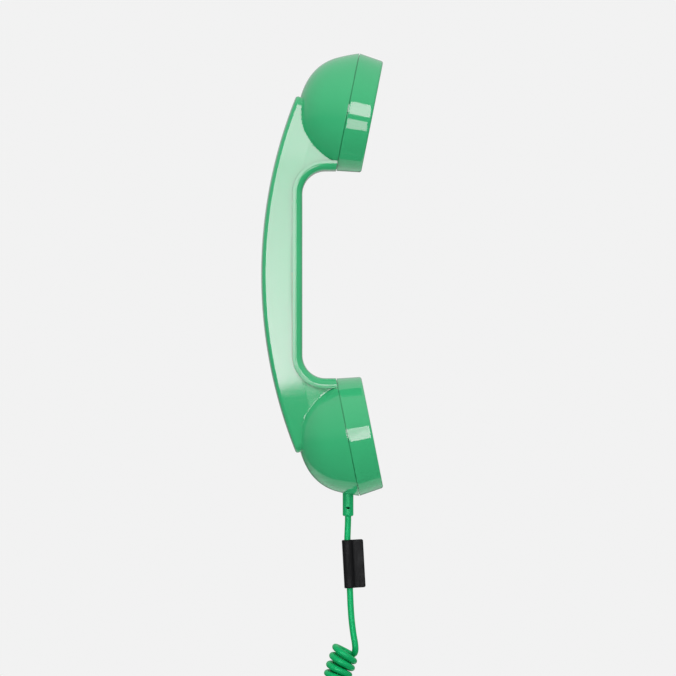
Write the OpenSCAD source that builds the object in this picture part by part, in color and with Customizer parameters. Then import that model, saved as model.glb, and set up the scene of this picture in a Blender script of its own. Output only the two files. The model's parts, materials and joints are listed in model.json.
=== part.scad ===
// Retro one-piece telephone handset with a curly cord and a 3.5 mm plug.
// Millimetres, +Z up. The handset hangs upright with its earpiece at the top and
// both caps facing +X. The origin is at the middle of the grip.

/* [Handset] */
// Distance between the seam centres of the two cups
cup_pitch = 154.4; // [130:0.2:190]
// How far the seam centres stand in front of the grip's middle
cup_x = 31.3; // [29:0.1:38]
// Tilt of each cup towards the other, in degrees
cup_tilt = 11.3; // [8:0.1:14]
// Wall of the moulded shells
wall = 2.2; // [1.6:0.1:3]
// Gap left at every parting line and seam
seam_gap = 0.3; // [0.2:0.05:0.5]

/* [Cups] */
// Radius of a cup at its seam
cup_r = 28.4; // [26:0.1:34]
// Slope of the bowl at its seam, in degrees
bowl_slope = 18; // [12:1:24]
// Radius of the bowl's flank, seen in section
flank_r = 74; // [60:1:120]
// Radius of the bowl's shoulder, seen in section
shoulder_r = 22.8; // [20:0.1:26]

/* [Caps] */
// Depth of a cap from its seam to its rim
cap_len = 11.9; // [11:0.1:16]
// How much smaller a cap is at its rim than at its seam
cap_taper = 1.4; // [0.5:0.1:3]
// Depth of the dish in a cap's face
dish_depth = 1.6; // [0.8:0.1:2]
// Radius of the sound holes
sound_hole_r = 1; // [0.6:0.1:1.4]

/* [Grip] */
// Thickness of the grip at its middle, back to front
grip_t = 19.5; // [17:0.1:26]
// Radius of the back's long curve
back_r = 225.2; // [200:0.2:300]
// How far the grip's two ends reach past the middles of the cups
tip_past = 7.7; // [4:0.1:12]
// Half of the grip's greatest width
grip_half_w = 13; // [11:0.1:16]
// How much narrower each side is at the back
side_bulge = 3; // [1:0.1:5]
// Radius of the two inside corners where the grip turns into the cups
bay_r = 11; // [8:0.5:16]
// Depth of the inner shell's bead
bead_depth = 4.75; // [4:0.05:7]
// Half width of the inner shell's bead
bead_half_w = 14.2; // [13:0.1:18]

/* [Button] */
// Height of the button above the grip's middle
button_z = 24; // [10:1:30]
// Length of the button
button_len = 20; // [12:0.5:26]
// Width of the button
button_w = 8; // [6:0.5:12]
// Travel of the button
button_travel = 0.8; // [0.4:0.1:1]
// Running gap round the button
button_gap = 0.25; // [0.15:0.05:0.5]

/* [Insides] */
// Radius of the receiver
speaker_r = 17.5; // [14:0.5:18]
// Radius of the microphone capsule
mic_r = 4.8; // [3:0.1:6]
// Shank radius of the small screws
screw_r = 0.9; // [0.7:0.05:1.2]
// Length of the circuit board
board_len = 42; // [38:1:50]
// Length of the steel ballast bar
ballast_len = 40; // [20:1:50]

/* [Cord] */
// Diameter of the cord's strand
cord_d = 3; // [2.4:0.1:3.6]
// Outer diameter of the curly part
coil_d = 14; // [12:0.5:18]
// Turns in the curly part
coil_turns = 35; // [20:1:40]
// Distance from turn to turn, at rest
coil_pitch = 3.15; // [3.1:0.05:3.7]
// Diameter of the strain relief's barrel
relief_d = 5.1; // [4.6:0.1:6]
// Length of the strain relief below the cup
relief_len = 10.7; // [6:0.1:16]
// Length of the rubber tag on the cord
tag_len = 22.9; // [12:0.1:26]
// Diameter of the tag's sleeve
tag_sleeve_d = 5.2; // [4.8:0.1:7]
// Width of the tag, sleeve and flag together
tag_w = 10.1; // [8:0.1:20]
// Diameter of the plug's body
plug_body_d = 8.4; // [7:0.1:11]
// Length of the plug's body
plug_body_len = 13; // [8:0.5:20]

/* [Hidden] */

$fn = 96;
eps = 0.01;
green = [0.20, 0.66, 0.45];
cord_green = [0.09, 0.62, 0.35];
black = [0.06, 0.06, 0.065];
steel = [0.72, 0.73, 0.75];
copper = [0.72, 0.42, 0.26];

fit = 0.1;                              // close clearance between pieces that seat in each other
cup_z = cup_pitch / 2;
rim_r = cup_r - cap_taper;
bowl_shoulder_a = 26.5;                 // where the flank turns into the shoulder
bowl_crown_a = 70;                      // where the shoulder turns into the crown
collar_r = cup_r - wall - 1.1;          // outside of the collar that plugs each cap into its cup
collar_len = 2;
collar_wall = 2;
bore_r = collar_r + fit;

grip_front = grip_t / 2;
bay_z = cup_z - cup_r * cos(cup_tilt) - 0.1;   // half height of the opening between the cups
back_x = back_r - grip_t / 2;           // centre of the back's long curve
side_depth = 14;                        // depth at which the sides are widest
side_power = 1.15;                      // 1 makes flat tapered sides, 2 evenly curved ones
grip_depth = 26;                        // how deep the grip's walls run into the cups
back_fillet = 1.2;
crown_r = 60;                           // crown across the back
tip_corner_r = 4;
tip_z = cup_z + tip_past;
tip_a = asin(tip_z / back_r);
bead_wall = 3.2;
bead_round = 3.3;

cap_wall = 2;
cap_in = cap_len - dish_depth - cap_wall;      // inner face of a cap's front, above the seam
dish_r = rim_r - 4.4;
boss_at = collar_r - collar_wall - 2.9; // circle of the three screw bosses in each cap
boss_r = 2.1;
mesh_t = 0.3;
screw_head_r = 1.9;
screw_head_t = 1.2;
hole_r = screw_r + 0.05;

board_x = 1;                            // back face of the board
board_t = 1.2;
board_half_w = 8.2;
board_z = button_z + 1;                 // middle of the board
board_hole_z = board_len / 2 - 3.2;
switch_h = 3.5;
plunger_r = 1.75;
button_face = grip_front - 0.2;
button_flange_t = 0.9;
button_flange = 1;                      // how far the flange reaches past the opening
flange_front = grip_front - wall - fit;
flange_back = flange_front - button_flange_t;

ballast_x = -1.6;
ballast_t = 4.5;
ballast_half_w = 5;
ballast_z = -4 - ballast_len / 2;

relief_x = cup_x + 0.2;                 // where the cord leaves the lower cup
relief_top = -cup_z - (cup_r - 6.9);
relief_end = -cup_z - (cup_r - 1.6) - relief_len;
relief_socket = 3;
clamp_x = -8;                           // middle of the cord clamp, in the lower cup's frame
clamp_back = -20.2 + 28.4 - cup_r;      // back ends of its two posts, inside the bowl's wall
clamp_z = clamp_back + 7.2;
clamp_move = (28.4 - cup_r) * [cos(cup_tilt), 0, sin(cup_tilt)];   // how far a wider cup takes it back
clamp_t = 1.6;
coil_x = relief_x - 4;
coil_top = relief_end - 63.3;
coil_bottom = coil_top - coil_turns * coil_pitch;
tail_len = 10.5;
boot_top = coil_bottom - tail_len;
boot_len = 8;
boot_over = 4;                          // how far the cord runs into the boot
body_top = boot_top - boot_len;
collar_top = body_top - plug_body_len;
plug_collar_t = 1;
pin_top = collar_top - plug_collar_t;
pin_r = 1.75;
insulator_t = 0.6;
sleeve_len = 4.2;
ring_len = 2.0;

// The cord's route from the strain relief to the coil, and the tag's two ends on it
lead_route = [for (p = [
  [0, relief_socket], [0, 0], [-0.05, -3.3], [-0.2, -7.3], [-0.35, -10.3], [0.2, -22.8], [0.9, -35.3],
  [1.2, -42.3], [1.7, -49.3], [2.4, -56.3], [2.8, coil_top - relief_end]
]) [relief_x + p[0], 0, relief_end + p[1]]];
tag_top = [relief_x - 0.4, 0, relief_end - 11.3];
tag_a = 3.2;                            // lean of the tag, in degrees

// ---------------------------------------------------------------- helpers

function arc(c, r, a0, a1, n) =
  [for (i = [0:n]) let (a = a0 + (a1 - a0) * i / n) [c[0] + r * cos(a), c[1] + r * sin(a)]];
function tail(list) = [for (i = [1:len(list) - 1]) list[i]];
function reversed(list) = [for (i = [len(list) - 1:-1:0]) list[i]];
function unit(v) = v / norm(v);

// A smooth curve through a route's points
function spline(p, n) = concat(
  [for (i = [0:len(p) - 2], j = [0:n - 1])
    let (t = j / n, a = p[max(i - 1, 0)], b = p[i], c = p[i + 1], d = p[min(i + 2, len(p) - 1)])
    0.5 * (2 * b + t * (c - a) + t * t * (2 * a - 5 * b + 4 * c - d) + t * t * t * (3 * b - 3 * c + d - a))],
  [p[len(p) - 1]]);

// A round tube along a route that stays near the XZ plane
module tube(route, r, sides = 8) {
  n = len(route);
  points = [for (i = [0:n - 1])
    let (t = unit(route[min(i + 1, n - 1)] - route[max(i - 1, 0)]),
         u = unit(cross([0, 1, 0], t)), v = cross(t, u))
    for (k = [0:sides - 1]) route[i] + r * (cos(360 * k / sides) * u + sin(360 * k / sides) * v)];
  polyhedron(points, concat(
    [[for (k = [0:sides - 1]) k]],
    [[for (k = [sides - 1:-1:0]) (n - 1) * sides + k]],
    [for (i = [0:n - 2], k = [0:sides - 1]) let (m = (k + 1) % sides)
      [i * sides + k, (i + 1) * sides + k, (i + 1) * sides + m, i * sides + m]]));
}

// Places a piece in a cup: the origin at the seam's centre, +Z out of the cap's face,
// +X towards the handset's middle. end is 1 for the earpiece and -1 for the mouthpiece.
module at_cup(end) {
  mirror([0, 0, end > 0 ? 0 : 1])
    translate([cup_x, 0, cup_z]) rotate([0, 90 + cup_tilt, 0]) children();
}

module on_circle(r, n, turn = 0) {
  for (i = [0:n - 1]) rotate([0, 0, turn + 360 * i / n]) translate([r, 0, 0]) children();
}

module on_clamp() {
  for (y = [-1, 1]) translate([clamp_x, 6.2 * y, 0]) children();
}

module along_x(x0, x1, y, z, r) {
  translate([x0, y, z]) rotate([0, 90, 0]) cylinder(h = x1 - x0, r = r);
}

module ring(r_out, r_in, z0, z1) {
  translate([0, 0, z0]) difference() {
    cylinder(h = z1 - z0, r = r_out);
    translate([0, 0, -eps]) cylinder(h = z1 - z0 + 2 * eps, r = r_in);
  }
}

// ---------------------------------------------------------------- outer form

// Section of a bowl, moved inwards by inset, its arcs drawn with n, 2n and n chords
bowl_c1 = [cup_r - flank_r * cos(bowl_slope), flank_r * sin(bowl_slope)];
bowl_c2 = bowl_c1 + (flank_r - shoulder_r) * [cos(bowl_shoulder_a), -sin(bowl_shoulder_a)];
crown_end = bowl_c2 + shoulder_r * [cos(bowl_crown_a), -sin(bowl_crown_a)];
bowl_crown_r = crown_end[0] / cos(bowl_crown_a);
bowl_c3 = [0, crown_end[1] + bowl_crown_r * sin(bowl_crown_a)];
function bowl(inset, n) = concat(
  arc(bowl_c1, flank_r - inset, -bowl_slope, -bowl_shoulder_a, n),
  tail(arc(bowl_c2, shoulder_r - inset, -bowl_shoulder_a, -bowl_crown_a, 2 * n)),
  tail(arc(bowl_c3, bowl_crown_r - inset, -bowl_crown_a, -90, n)));

module bowl_outside() {
  rotate_extrude() polygon(concat([[0, 0]], bowl(0, 4)));
}

module bowl_inside() {
  rotate_extrude() intersection() {
    polygon(concat([[0, 4], [cup_r, 4]], bowl(wall, 2)));
    translate([0, -cup_r]) square([bore_r, cup_r + 1]);
  }
}

// Half width of the grip at a depth below its back
function side_w(depth) = grip_half_w - side_bulge * pow(max(0, 1 - depth / side_depth), side_power);

// Sweeps one side of the grip's section, and its mirror image, along the back's long curve
module along_back(side, end_a) {
  translate([back_x, 0, 0]) rotate([90, 0, 0]) rotate([0, 0, 180 - end_a])
    rotate_extrude(angle = 2 * end_a) polygon(concat(side, [for (p = reversed(side)) [p[0], -p[1]]]));
}

module grip_form() {
  f = back_fillet;
  along_back(concat(
    [for (y = [0:3:6]) [back_r - y * y / (2 * crown_r), y]],
    arc([back_r - f - 0.5, side_w(f) - f - 0.2], f, 0, 60, 3),
    [for (i = [1:7]) let (u = f + 1 + (grip_depth - f - 1) * i / 7) [back_r - u, side_w(u)]]), tip_a);
}

module grip_hollow() {
  back = wall + 0.4;
  along_back(concat([[back_r - back, 0]],
    [for (u = [back, 8, side_depth, grip_depth]) [back_r - u, side_w(u) - wall]]), tip_a - wall / back_r * 180 / PI);
}

// What the rounded corners of the grip's two ends take away
module tip_corners() {
  c = side_w(5) - tip_corner_r;
  for (y = [-1, 1], z = [-1, 1]) scale([1, y, z])
    translate([-20, c, tip_z - tip_corner_r]) rotate([0, 90, 0]) rotate([0, 0, 90])
      linear_extrude(height = 26) difference() {
        square(tip_corner_r + 6);
        circle(r = tip_corner_r);
      }
}

// The opening between the cups, grown into the handset by reach
module bay(reach) {
  h = bay_z + reach;
  r = bay_r + reach;
  rotate([90, 0, 0]) linear_extrude(height = 90, center = true) translate([grip_front - reach, 0]) {
    translate([r, -h]) square([70, 2 * h]);
    translate([0, r - h]) square([r + 1, 2 * (h - r)]);
    for (z = [-1, 1]) translate([r, z * (h - r)]) circle(r = r);
  }
}

module front_of_seams(gap) {
  for (end = [-1, 1]) at_cup(end) translate([-60, -60, -gap]) cube([120, 120, 60]);
}

// ---------------------------------------------------------------- shells

module relief_hole() {
  translate([relief_x, 0, relief_end + 4]) cylinder(h = relief_top - relief_end, r = relief_d / 2 + fit);
}

module rear_shell() {
  color(green) difference() {
    union() {
      difference() {
        union() {
          for (end = [-1, 1]) at_cup(end) bowl_outside();
          difference() {
            grip_form();
            tip_corners();
          }
        }
        for (end = [-1, 1]) at_cup(end) bowl_inside();
        grip_hollow();
        bay(bead_depth);
      }
      posts();
    }
    front_of_seams(0);
    relief_hole();
    post_holes();
  }
}

// Posts on the back wall for the board, the ballast and the cord clamp
post_from = 1.0;                        // the posts start inside the back wall
function back_at(z) = back_x - sqrt(pow(back_r, 2) - z * z);
board_posts = [board_z - board_hole_z, board_z + board_hole_z];
ballast_posts = [ballast_z - ballast_len / 2 + 5, ballast_z + ballast_len / 2 - 5];
module posts() {
  for (z = board_posts) along_x(back_at(z) + post_from, board_x, 0, z, 2.6);
  for (z = ballast_posts) along_x(back_at(z) + post_from, ballast_x, 0, z, 2.6);
  at_cup(-1) on_clamp() translate([0, 0, clamp_back]) cylinder(h = clamp_z - clamp_back, r = 2.2);
}

module post_holes() {
  for (z = board_posts) along_x(board_x - 5, board_x + 1, 0, z, hole_r);
  for (z = ballast_posts) along_x(ballast_x - 2.6, ballast_x + 1, 0, z, hole_r);
  at_cup(-1) on_clamp() translate([0, 0, clamp_z - 3.6]) cylinder(h = 5, r = hole_r);
}

module bead_section() {
  c = bead_half_w - bead_round;
  side = concat([[0, 0], [0, c]], tail(reversed(arc([bead_round, c], bead_round, 90, 180, 8))),
                [[bead_depth - fit, bead_half_w]]);
  difference() {
    polygon(concat(side, [for (p = reversed(side)) [p[0], -p[1]]]));
    translate([wall, -(bead_half_w - bead_wall)]) square([bead_depth, 2 * (bead_half_w - bead_wall)]);
  }
}

// Snap hooks that hold the inner shell in the rear shell
hook_x = board_x + 1;
hook_span = 34;
hook_y = side_w(hook_x - back_at(hook_span)) - wall - 2 * fit;
module hooks() {
  for (z = [-hook_span, 0, hook_span], y = [-1, 1]) scale([1, y, 1])
    translate([hook_x, hook_y - 1.4, z - 2.5]) cube([grip_front - wall - hook_x + 0.5, 1.4, 5]);
}

module button_slot(grow, x0, x1) {
  r = button_w / 2 + grow;
  half = button_len / 2 - button_w / 2;
  translate([x0, 0, button_z]) rotate([90, 0, 90]) linear_extrude(height = x1 - x0) {
    square([2 * r, 2 * half], center = true);
    for (z = [-1, 1]) translate([0, z * half]) circle(r = r);
  }
}

module inner_shell() {
  color(green) difference() {
    union() {
      translate([grip_front, 0, -(bay_z - bay_r)]) linear_extrude(height = 2 * (bay_z - bay_r))
        mirror([1, 0]) bead_section();
      for (end = [0, 1]) mirror([0, 0, end]) {
        translate([grip_front + bay_r, 0, bay_z - bay_r]) rotate([90, 0, 0]) rotate([0, 0, 90])
          rotate_extrude(angle = 90) translate([bay_r, 0]) bead_section();
        translate([grip_front + bay_r, 0, bay_z]) rotate([180, 0, 0]) rotate([0, 90, 0])
          linear_extrude(height = 16) bead_section();
      }
      hooks();
    }
    front_of_seams(0);
    for (end = [-1, 1]) at_cup(end) bowl_inside();
    button_slot(button_gap, grip_front - wall - 1, grip_front + 1);
  }
}

// ---------------------------------------------------------------- caps and meshes

function dish(r) = cap_len - dish_depth * pow(max(0, 1 - pow(r / dish_r, 2)), 1);

module cap_form() {
  edge = 1.2;
  rotate_extrude() polygon(concat(
    [for (r = [0:dish_r / 8:dish_r - 0.1]) [r, dish(r)]],
    [[dish_r, cap_len]],
    reversed(arc([rim_r - edge, cap_len - edge], edge, 8, 90, 4)),
    [[cup_r, seam_gap], [collar_r, seam_gap], [collar_r, -collar_len],
     [collar_r - collar_wall, -collar_len], [collar_r - collar_wall, cap_in], [0, cap_in]]));
}

module cap_bosses(z0) {
  on_circle(boss_at, 3, 30) translate([0, 0, z0]) cylinder(h = cap_in - z0 + eps, r = boss_r);
}

module boss_holes(z0) {
  on_circle(boss_at, 3, 30) translate([0, 0, z0 - eps]) cylinder(h = 5, r = hole_r);
}

module sound_holes(rings) {
  translate([0, 0, cap_in - 1]) cylinder(h = 8, r = sound_hole_r);
  for (k = rings) on_circle(k * 4.6, 6 * k, 90 * k) translate([0, 0, cap_in - 1]) cylinder(h = 8, r = sound_hole_r);
}

module earpiece_cap() {
  color(green) at_cup(1) difference() {
    union() {
      cap_form();
      cap_bosses(speaker_back + fit);
    }
    sound_holes([1:2]);
    boss_holes(speaker_back + fit);
  }
}

// Room in the lower cap's collar for the strain relief's flange
module relief_notch() {
  translate([-(cup_r - 1), 0, -collar_len - 1]) translate([0, -relief_d, 0]) cube([8, 2 * relief_d, collar_len + 1]);
}

module mouthpiece_cap() {
  color(green) at_cup(-1) difference() {
    union() {
      cap_form();
      cap_bosses(mic_back + fit);
    }
    sound_holes([1:2]);
    boss_holes(mic_back + fit);
    relief_notch();
  }
}

module mesh_disc(end) {
  color(black) at_cup(end) translate([0, 0, cap_in - mesh_t - fit / 2]) cylinder(h = mesh_t, r = speaker_r - 1);
}
module earpiece_mesh() mesh_disc(1);
module mouthpiece_mesh() mesh_disc(-1);

// ---------------------------------------------------------------- receiver

gasket_t = 1;
basket_front = cap_in - mesh_t - fit - gasket_t;
speaker_back = -1.2;                    // back of the basket's flange, where the clamp bears
magnet_r = 8.5;

module speaker_gasket() {
  color(black) at_cup(1) ring(speaker_r, speaker_r - 2.5, basket_front, basket_front + gasket_t);
}

module speaker_basket() {
  color(black) at_cup(1) difference() {
    translate([0, 0, speaker_back]) cylinder(h = basket_front - speaker_back, r = speaker_r);
    translate([0, 0, speaker_back + 1.6]) cylinder(h = 20, r = speaker_r - 1.6);
    translate([0, 0, speaker_back - 1]) cylinder(h = 4, r = magnet_r - 1.5);
    on_circle(speaker_r - 5, 6) translate([0, 0, speaker_back - 1]) cylinder(h = 4, r = 1.6);
  }
}

module speaker_magnet() {
  color(steel) at_cup(1) {
    translate([0, 0, speaker_back - 5]) cylinder(h = 5, r = magnet_r);
    translate([0, 0, speaker_back - 1]) cylinder(h = 3, r = magnet_r - 1.5 - fit);
  }
}

module speaker_cone() {
  top = basket_front - 0.2;
  color([0.16, 0.16, 0.17]) at_cup(1) rotate_extrude() polygon([
    [0, top - 2.6], [magnet_r - 2, top - 3.2], [speaker_r - 4.5, top - 0.8], [speaker_r - 1.9, top - 0.8],
    [speaker_r - 1.9, top - 0.4], [speaker_r - 4.6, top - 0.4], [magnet_r - 2, top - 2.8], [3, top - 1.4],
    [0, top - 1.2]]);
}

module clamp_ring(z, r_in) {
  difference() {
    ring(boss_at + boss_r, r_in, z - 1.4, z);
    on_circle(boss_at, 3, 30) translate([0, 0, z - 3]) cylinder(h = 6, r = hole_r + 0.15);
  }
}

module screw_down(z, length) {
  translate([0, 0, z - 0.5]) cylinder(h = length + 0.5, r = screw_r);
  translate([0, 0, z - screw_head_t]) difference() {
    cylinder(h = screw_head_t, r = screw_head_r);
    translate([-0.3, -1.3, -eps]) cube([0.6, 2.6, 0.6]);
    translate([-1.3, -0.3, -eps]) cube([2.6, 0.6, 0.6]);
  }
}

module speaker_clamp() {
  color(steel) at_cup(1) clamp_ring(speaker_back, magnet_r + 0.6);
}

module speaker_screws() {
  color(steel) at_cup(1) on_circle(boss_at, 3, 30) screw_down(speaker_back - 1.4, 5);
}

// ---------------------------------------------------------------- microphone

mic_back = 2.4;                         // front of the holder's plate
mic_front = cap_in - mesh_t - fit;

module mic_holder() {
  color(black) at_cup(-1) {
    clamp_ring(mic_back, 2.4);
    ring(mic_r + 3.4, mic_r + 2.2, mic_back - eps, mic_back + 3.4);
  }
}

module mic_boot() {
  color([0.12, 0.12, 0.13]) at_cup(-1) ring(mic_r + 2.1, mic_r + 0.02, mic_back + 0.05, mic_front);
}

module mic_capsule() {
  color(steel) at_cup(-1) translate([0, 0, mic_back + 0.3]) cylinder(h = mic_front - mic_back - 0.6, r = mic_r);
}

module mic_screws() {
  color(steel) at_cup(-1) on_circle(boss_at, 3, 30) screw_down(mic_back - 1.4, 5);
}

// ---------------------------------------------------------------- board and button

module circuit_board() {
  color([0.05, 0.25, 0.14]) difference() {
    translate([board_x, -board_half_w, board_z - board_len / 2]) cube([board_t, 2 * board_half_w, board_len]);
    for (z = board_posts) along_x(board_x - 1, board_x + board_t + 1, 0, z, hole_r + 0.15);
  }
}

module board_chips() {
  x = board_x + board_t;
  color([0.08, 0.08, 0.09]) {
    translate([x, -6.5, board_z - 13]) cube([1.2, 5, 5]);
    translate([x, 2, board_z - 12]) cube([0.9, 3, 4]);
    translate([x, 2.5, board_z + 10]) cube([1.1, 4, 3]);
    along_x(x, x + 3.2, -5, board_z + 11.5, 1.9);
  }
}

module small_screw(x, z, length) {
  along_x(x - length, x + 0.5, 0, z, screw_r);
  difference() {
    along_x(x, x + screw_head_t, 0, z, screw_head_r);
    translate([x + screw_head_t - 0.6, -0.3, z - 1.3]) cube([1, 0.6, 2.6]);
    translate([x + screw_head_t - 0.6, -1.3, z - 0.3]) cube([1, 2.6, 0.6]);
  }
}

module board_screws() {
  color(steel) for (z = board_posts) small_screw(board_x + board_t, z, 5);
}

module tact_switch() {
  x = board_x + board_t;
  color(black) difference() {
    translate([x, -3, button_z - 3]) cube([switch_h, 6, 6]);
    along_x(x + 1.4, x + switch_h + 1, 0, button_z, plunger_r + fit);
  }
}

module switch_plunger() {
  x = board_x + board_t;
  color([0.85, 0.85, 0.82]) along_x(x + 1.5 + button_travel, flange_back - 0.02, 0, button_z, plunger_r);
}

module button() {
  color(green) {
    button_slot(0, flange_front - eps, button_face);
    button_slot(button_gap + button_flange, flange_back, flange_front);
  }
}

module ballast_bar() {
  color([0.45, 0.46, 0.48]) difference() {
    translate([ballast_x, -ballast_half_w, ballast_z - ballast_len / 2])
      cube([ballast_t, 2 * ballast_half_w, ballast_len]);
    for (z = ballast_posts) along_x(ballast_x - 1, ballast_x + ballast_t + 1, 0, z, hole_r + 0.15);
  }
}

module ballast_screws() {
  color(steel) for (z = ballast_posts) small_screw(ballast_x + ballast_t, z, ballast_t + 2.4);
}

// ---------------------------------------------------------------- wiring

wire_r = 0.6;
module wires(route) {
  for (y = [-1, 1]) tube(spline([for (p = route) [p[0], y * p[1], p[2]]], 3), wire_r, 6);
}

module speaker_wires() {
  color([0.65, 0.12, 0.10]) wires([
    [board_x + board_t + 1, 4.6, board_z + board_len / 2 - 0.6], [4.6, 4.6, board_z + board_len / 2 + 4],
    [back_at(cup_z - 21.2) + 7.7, 4.6, cup_z - 21.2], [back_at(cup_z - 11.2) + 7.9, 4.6, cup_z - 11.2],
    [back_at(cup_z - 4.2) + 11.6, 4.6, cup_z - 4.2],
    [cup_x - 12.3, 4.6, cup_z - 1.2], [cup_x - 8.7, 4.6, cup_z + 0.6]]);
}

module mic_wires() {
  color([0.12, 0.20, 0.55]) wires([
    [board_x + board_t + 1, 1.3, board_z - board_len / 2 + 0.6], [4.8, 1.3, board_z - board_len / 2 - 4],
    [5, 1.3, -9], [5, 1.3, 37.2 - cup_z], [6.5, 1.3, 23.2 - cup_z],
    [back_at(cup_z - 11.2) + 11.9, 1.3, 11.2 - cup_z],
    [cup_x - 9.3, 1.3, 5.2 - cup_z], [cup_x - 2.3, 1.3, 2.2 - cup_z], [cup_x + 0.7, 1.3, 0.6 - cup_z]]);
}

module cord_cores() {
  color(copper) wires([
    [board_x + board_t + 1, 4.4, board_z - board_len / 2 + 0.6], [4.6, 4.4, board_z - board_len / 2 - 4],
    [5, 4.4, -9], [5, 4.4, 37.2 - cup_z], [6.5, 4.4, 21.2 - cup_z],
    [back_at(cup_z - 10.2) + 10.6, 3.6, 10.2 - cup_z],
    clamp_move + [cup_x - 15.7, 2.6, 1.2 - cup_z], clamp_move + [cup_x - 13, 2.4, -cup_z - 5.8],
    clamp_move + [cup_x - 12.2, 2.4, -cup_z - 10.4],
    clamp_move + [cup_x - 10.3, 2.4, -cup_z - 14.8], [cup_x - 5.8, 2.2, relief_top + 4.1], [relief_x - 1.1, 2, relief_top + 3.1],
    [relief_x, 2, relief_top + 0.4]]);
}

// ---------------------------------------------------------------- cord

module strain_relief() {
  r = relief_d / 2;
  edge = 0.8;
  color(green) translate([relief_x, 0, 0]) difference() {
    rotate_extrude() polygon(concat(
      [[0, relief_top], [r + 0.7, relief_top], [r + 0.7, relief_top - 1.6], [r, relief_top - 1.6]],
      reversed(arc([r - edge, relief_end + edge], edge, -90, 0, 4)), [[0, relief_end]]));
    translate([0, 0, relief_end - 1]) cylinder(h = relief_socket + 1, r = cord_d / 2 + 0.02);
    for (y = [-1, 1]) translate([-0.9, y * (r - 0.25) - 0.5, relief_end + 3.9]) cube([1.8, 1, 0.7]);
  }
}

module cord_clamp() {
  color(black) at_cup(-1) difference() {
    translate([clamp_x - 2.5, -8.6, clamp_z]) cube([5, 17.2, clamp_t]);
    on_clamp() translate([0, 0, clamp_z - 1]) cylinder(h = 4, r = hole_r + 0.15);
  }
}

module cord_clamp_screws() {
  color(steel) at_cup(-1) on_clamp() translate([0, 0, clamp_z + clamp_t]) mirror([0, 0, 1]) screw_down(0, clamp_t + 2.8);
}

module cord_lead() {
  color(cord_green) tube(spline(lead_route, 3), cord_d / 2);
}

module cord_tag() {
  flag_t = 1.5;
  flag_r = 0.8;
  r = tag_sleeve_d / 2;
  color(black) translate(tag_top) rotate([0, -tag_a, 0]) mirror([0, 0, 1]) difference() {
    union() {
      cylinder(h = tag_len, r = r);
      rotate([90, 0, 0]) linear_extrude(height = flag_t, center = true) difference() {
        square([tag_w - r, tag_len]);
        for (z = [0, 1]) translate([tag_w - r, z * tag_len]) mirror([0, z]) difference() {
          translate([-flag_r, -eps]) square([flag_r + eps, flag_r + eps]);
          translate([-flag_r, flag_r]) circle(r = flag_r);
        }
      }
    }
    translate([0, 0, -1]) cylinder(h = tag_len + 2, r = cord_d / 2 + 0.25);
  }
}

module cord_coil() {
  color(cord_green) translate([coil_x, 0, coil_bottom]) cylinder(h = coil_top - coil_bottom, r = coil_d / 2);
}

module cord_tail() {
  color(cord_green) tube([for (z = [coil_bottom:-3:boot_top - boot_over]) [coil_x, 0, z]], cord_d / 2);
}

// ---------------------------------------------------------------- plug

module on_plug(z) {
  translate([coil_x, 0, z]) children();
}

module plug_boot() {
  color(black) on_plug(body_top) difference() {
    rotate_extrude() polygon([[0, 0], [3.4, 0], [3.3, 2], [2.5, boot_len], [0, boot_len]]);
    translate([0, 0, boot_len - boot_over - 1]) cylinder(h = boot_len, r = cord_d / 2 + 0.02);
  }
}

module plug_body() {
  r = plug_body_d / 2;
  edge = 0.8;
  color(black) on_plug(collar_top) rotate_extrude() polygon(concat(
    [[0, 0]], arc([r - edge, edge], edge, -90, 0, 4), arc([r - edge, plug_body_len - edge], edge, 0, 90, 4),
    [[0, plug_body_len]]));
}

module plug_collar() {
  color(steel) on_plug(pin_top) cylinder(h = plug_collar_t, r = pin_r + 1.3);
}

module contact(z, length) {
  color([0.86, 0.72, 0.42]) on_plug(z - length) cylinder(h = length, r = pin_r);
}

ring_1_top = pin_top - sleeve_len - insulator_t;
ring_2_top = ring_1_top - ring_len - insulator_t;
tip_top = ring_2_top - ring_len - insulator_t;

module plug_sleeve() contact(pin_top, sleeve_len);
module plug_ring_upper() contact(ring_1_top, ring_len);
module plug_ring_lower() contact(ring_2_top, ring_len);

module plug_tip() {
  color([0.86, 0.72, 0.42]) on_plug(tip_top - 4) rotate_extrude()
    polygon([[0, 0], [0.5, 0], [1.4, 1.5], [1.4, 1.8], [1.1, 2.4], [pin_r, 3.1], [pin_r, 4], [0, 4]]);
}

module plug_insulators() {
  color(black) for (z = [ring_1_top, ring_2_top, tip_top]) on_plug(z) cylinder(h = insulator_t, r = pin_r);
}

rear_shell();
inner_shell();
earpiece_cap();
mouthpiece_cap();
earpiece_mesh();
mouthpiece_mesh();
speaker_basket();
speaker_magnet();
speaker_cone();
speaker_gasket();
speaker_clamp();
speaker_screws();
mic_capsule();
mic_boot();
mic_holder();
mic_screws();
circuit_board();
board_chips();
board_screws();
tact_switch();
switch_plunger();
button();
ballast_bar();
ballast_screws();
speaker_wires();
mic_wires();
cord_cores();
strain_relief();
cord_clamp();
cord_clamp_screws();
cord_lead();
cord_tag();
cord_coil();
cord_tail();
plug_boot();
plug_body();
plug_collar();
plug_sleeve();
plug_ring_upper();
plug_ring_lower();
plug_tip();
plug_insulators();
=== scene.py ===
"""One-piece telephone handset with a curly cord, dressed for rendering.

Lengths in the classes are millimetres, as the part's own sizes are, and meshes are
made in metres. The frame is the part's: the origin at the middle of the grip, +Z up
along the handset, +X out of the caps.
"""
import json
import logging
import math
from dataclasses import dataclass, field
from enum import Enum
from typing import Callable, Sequence

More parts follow.
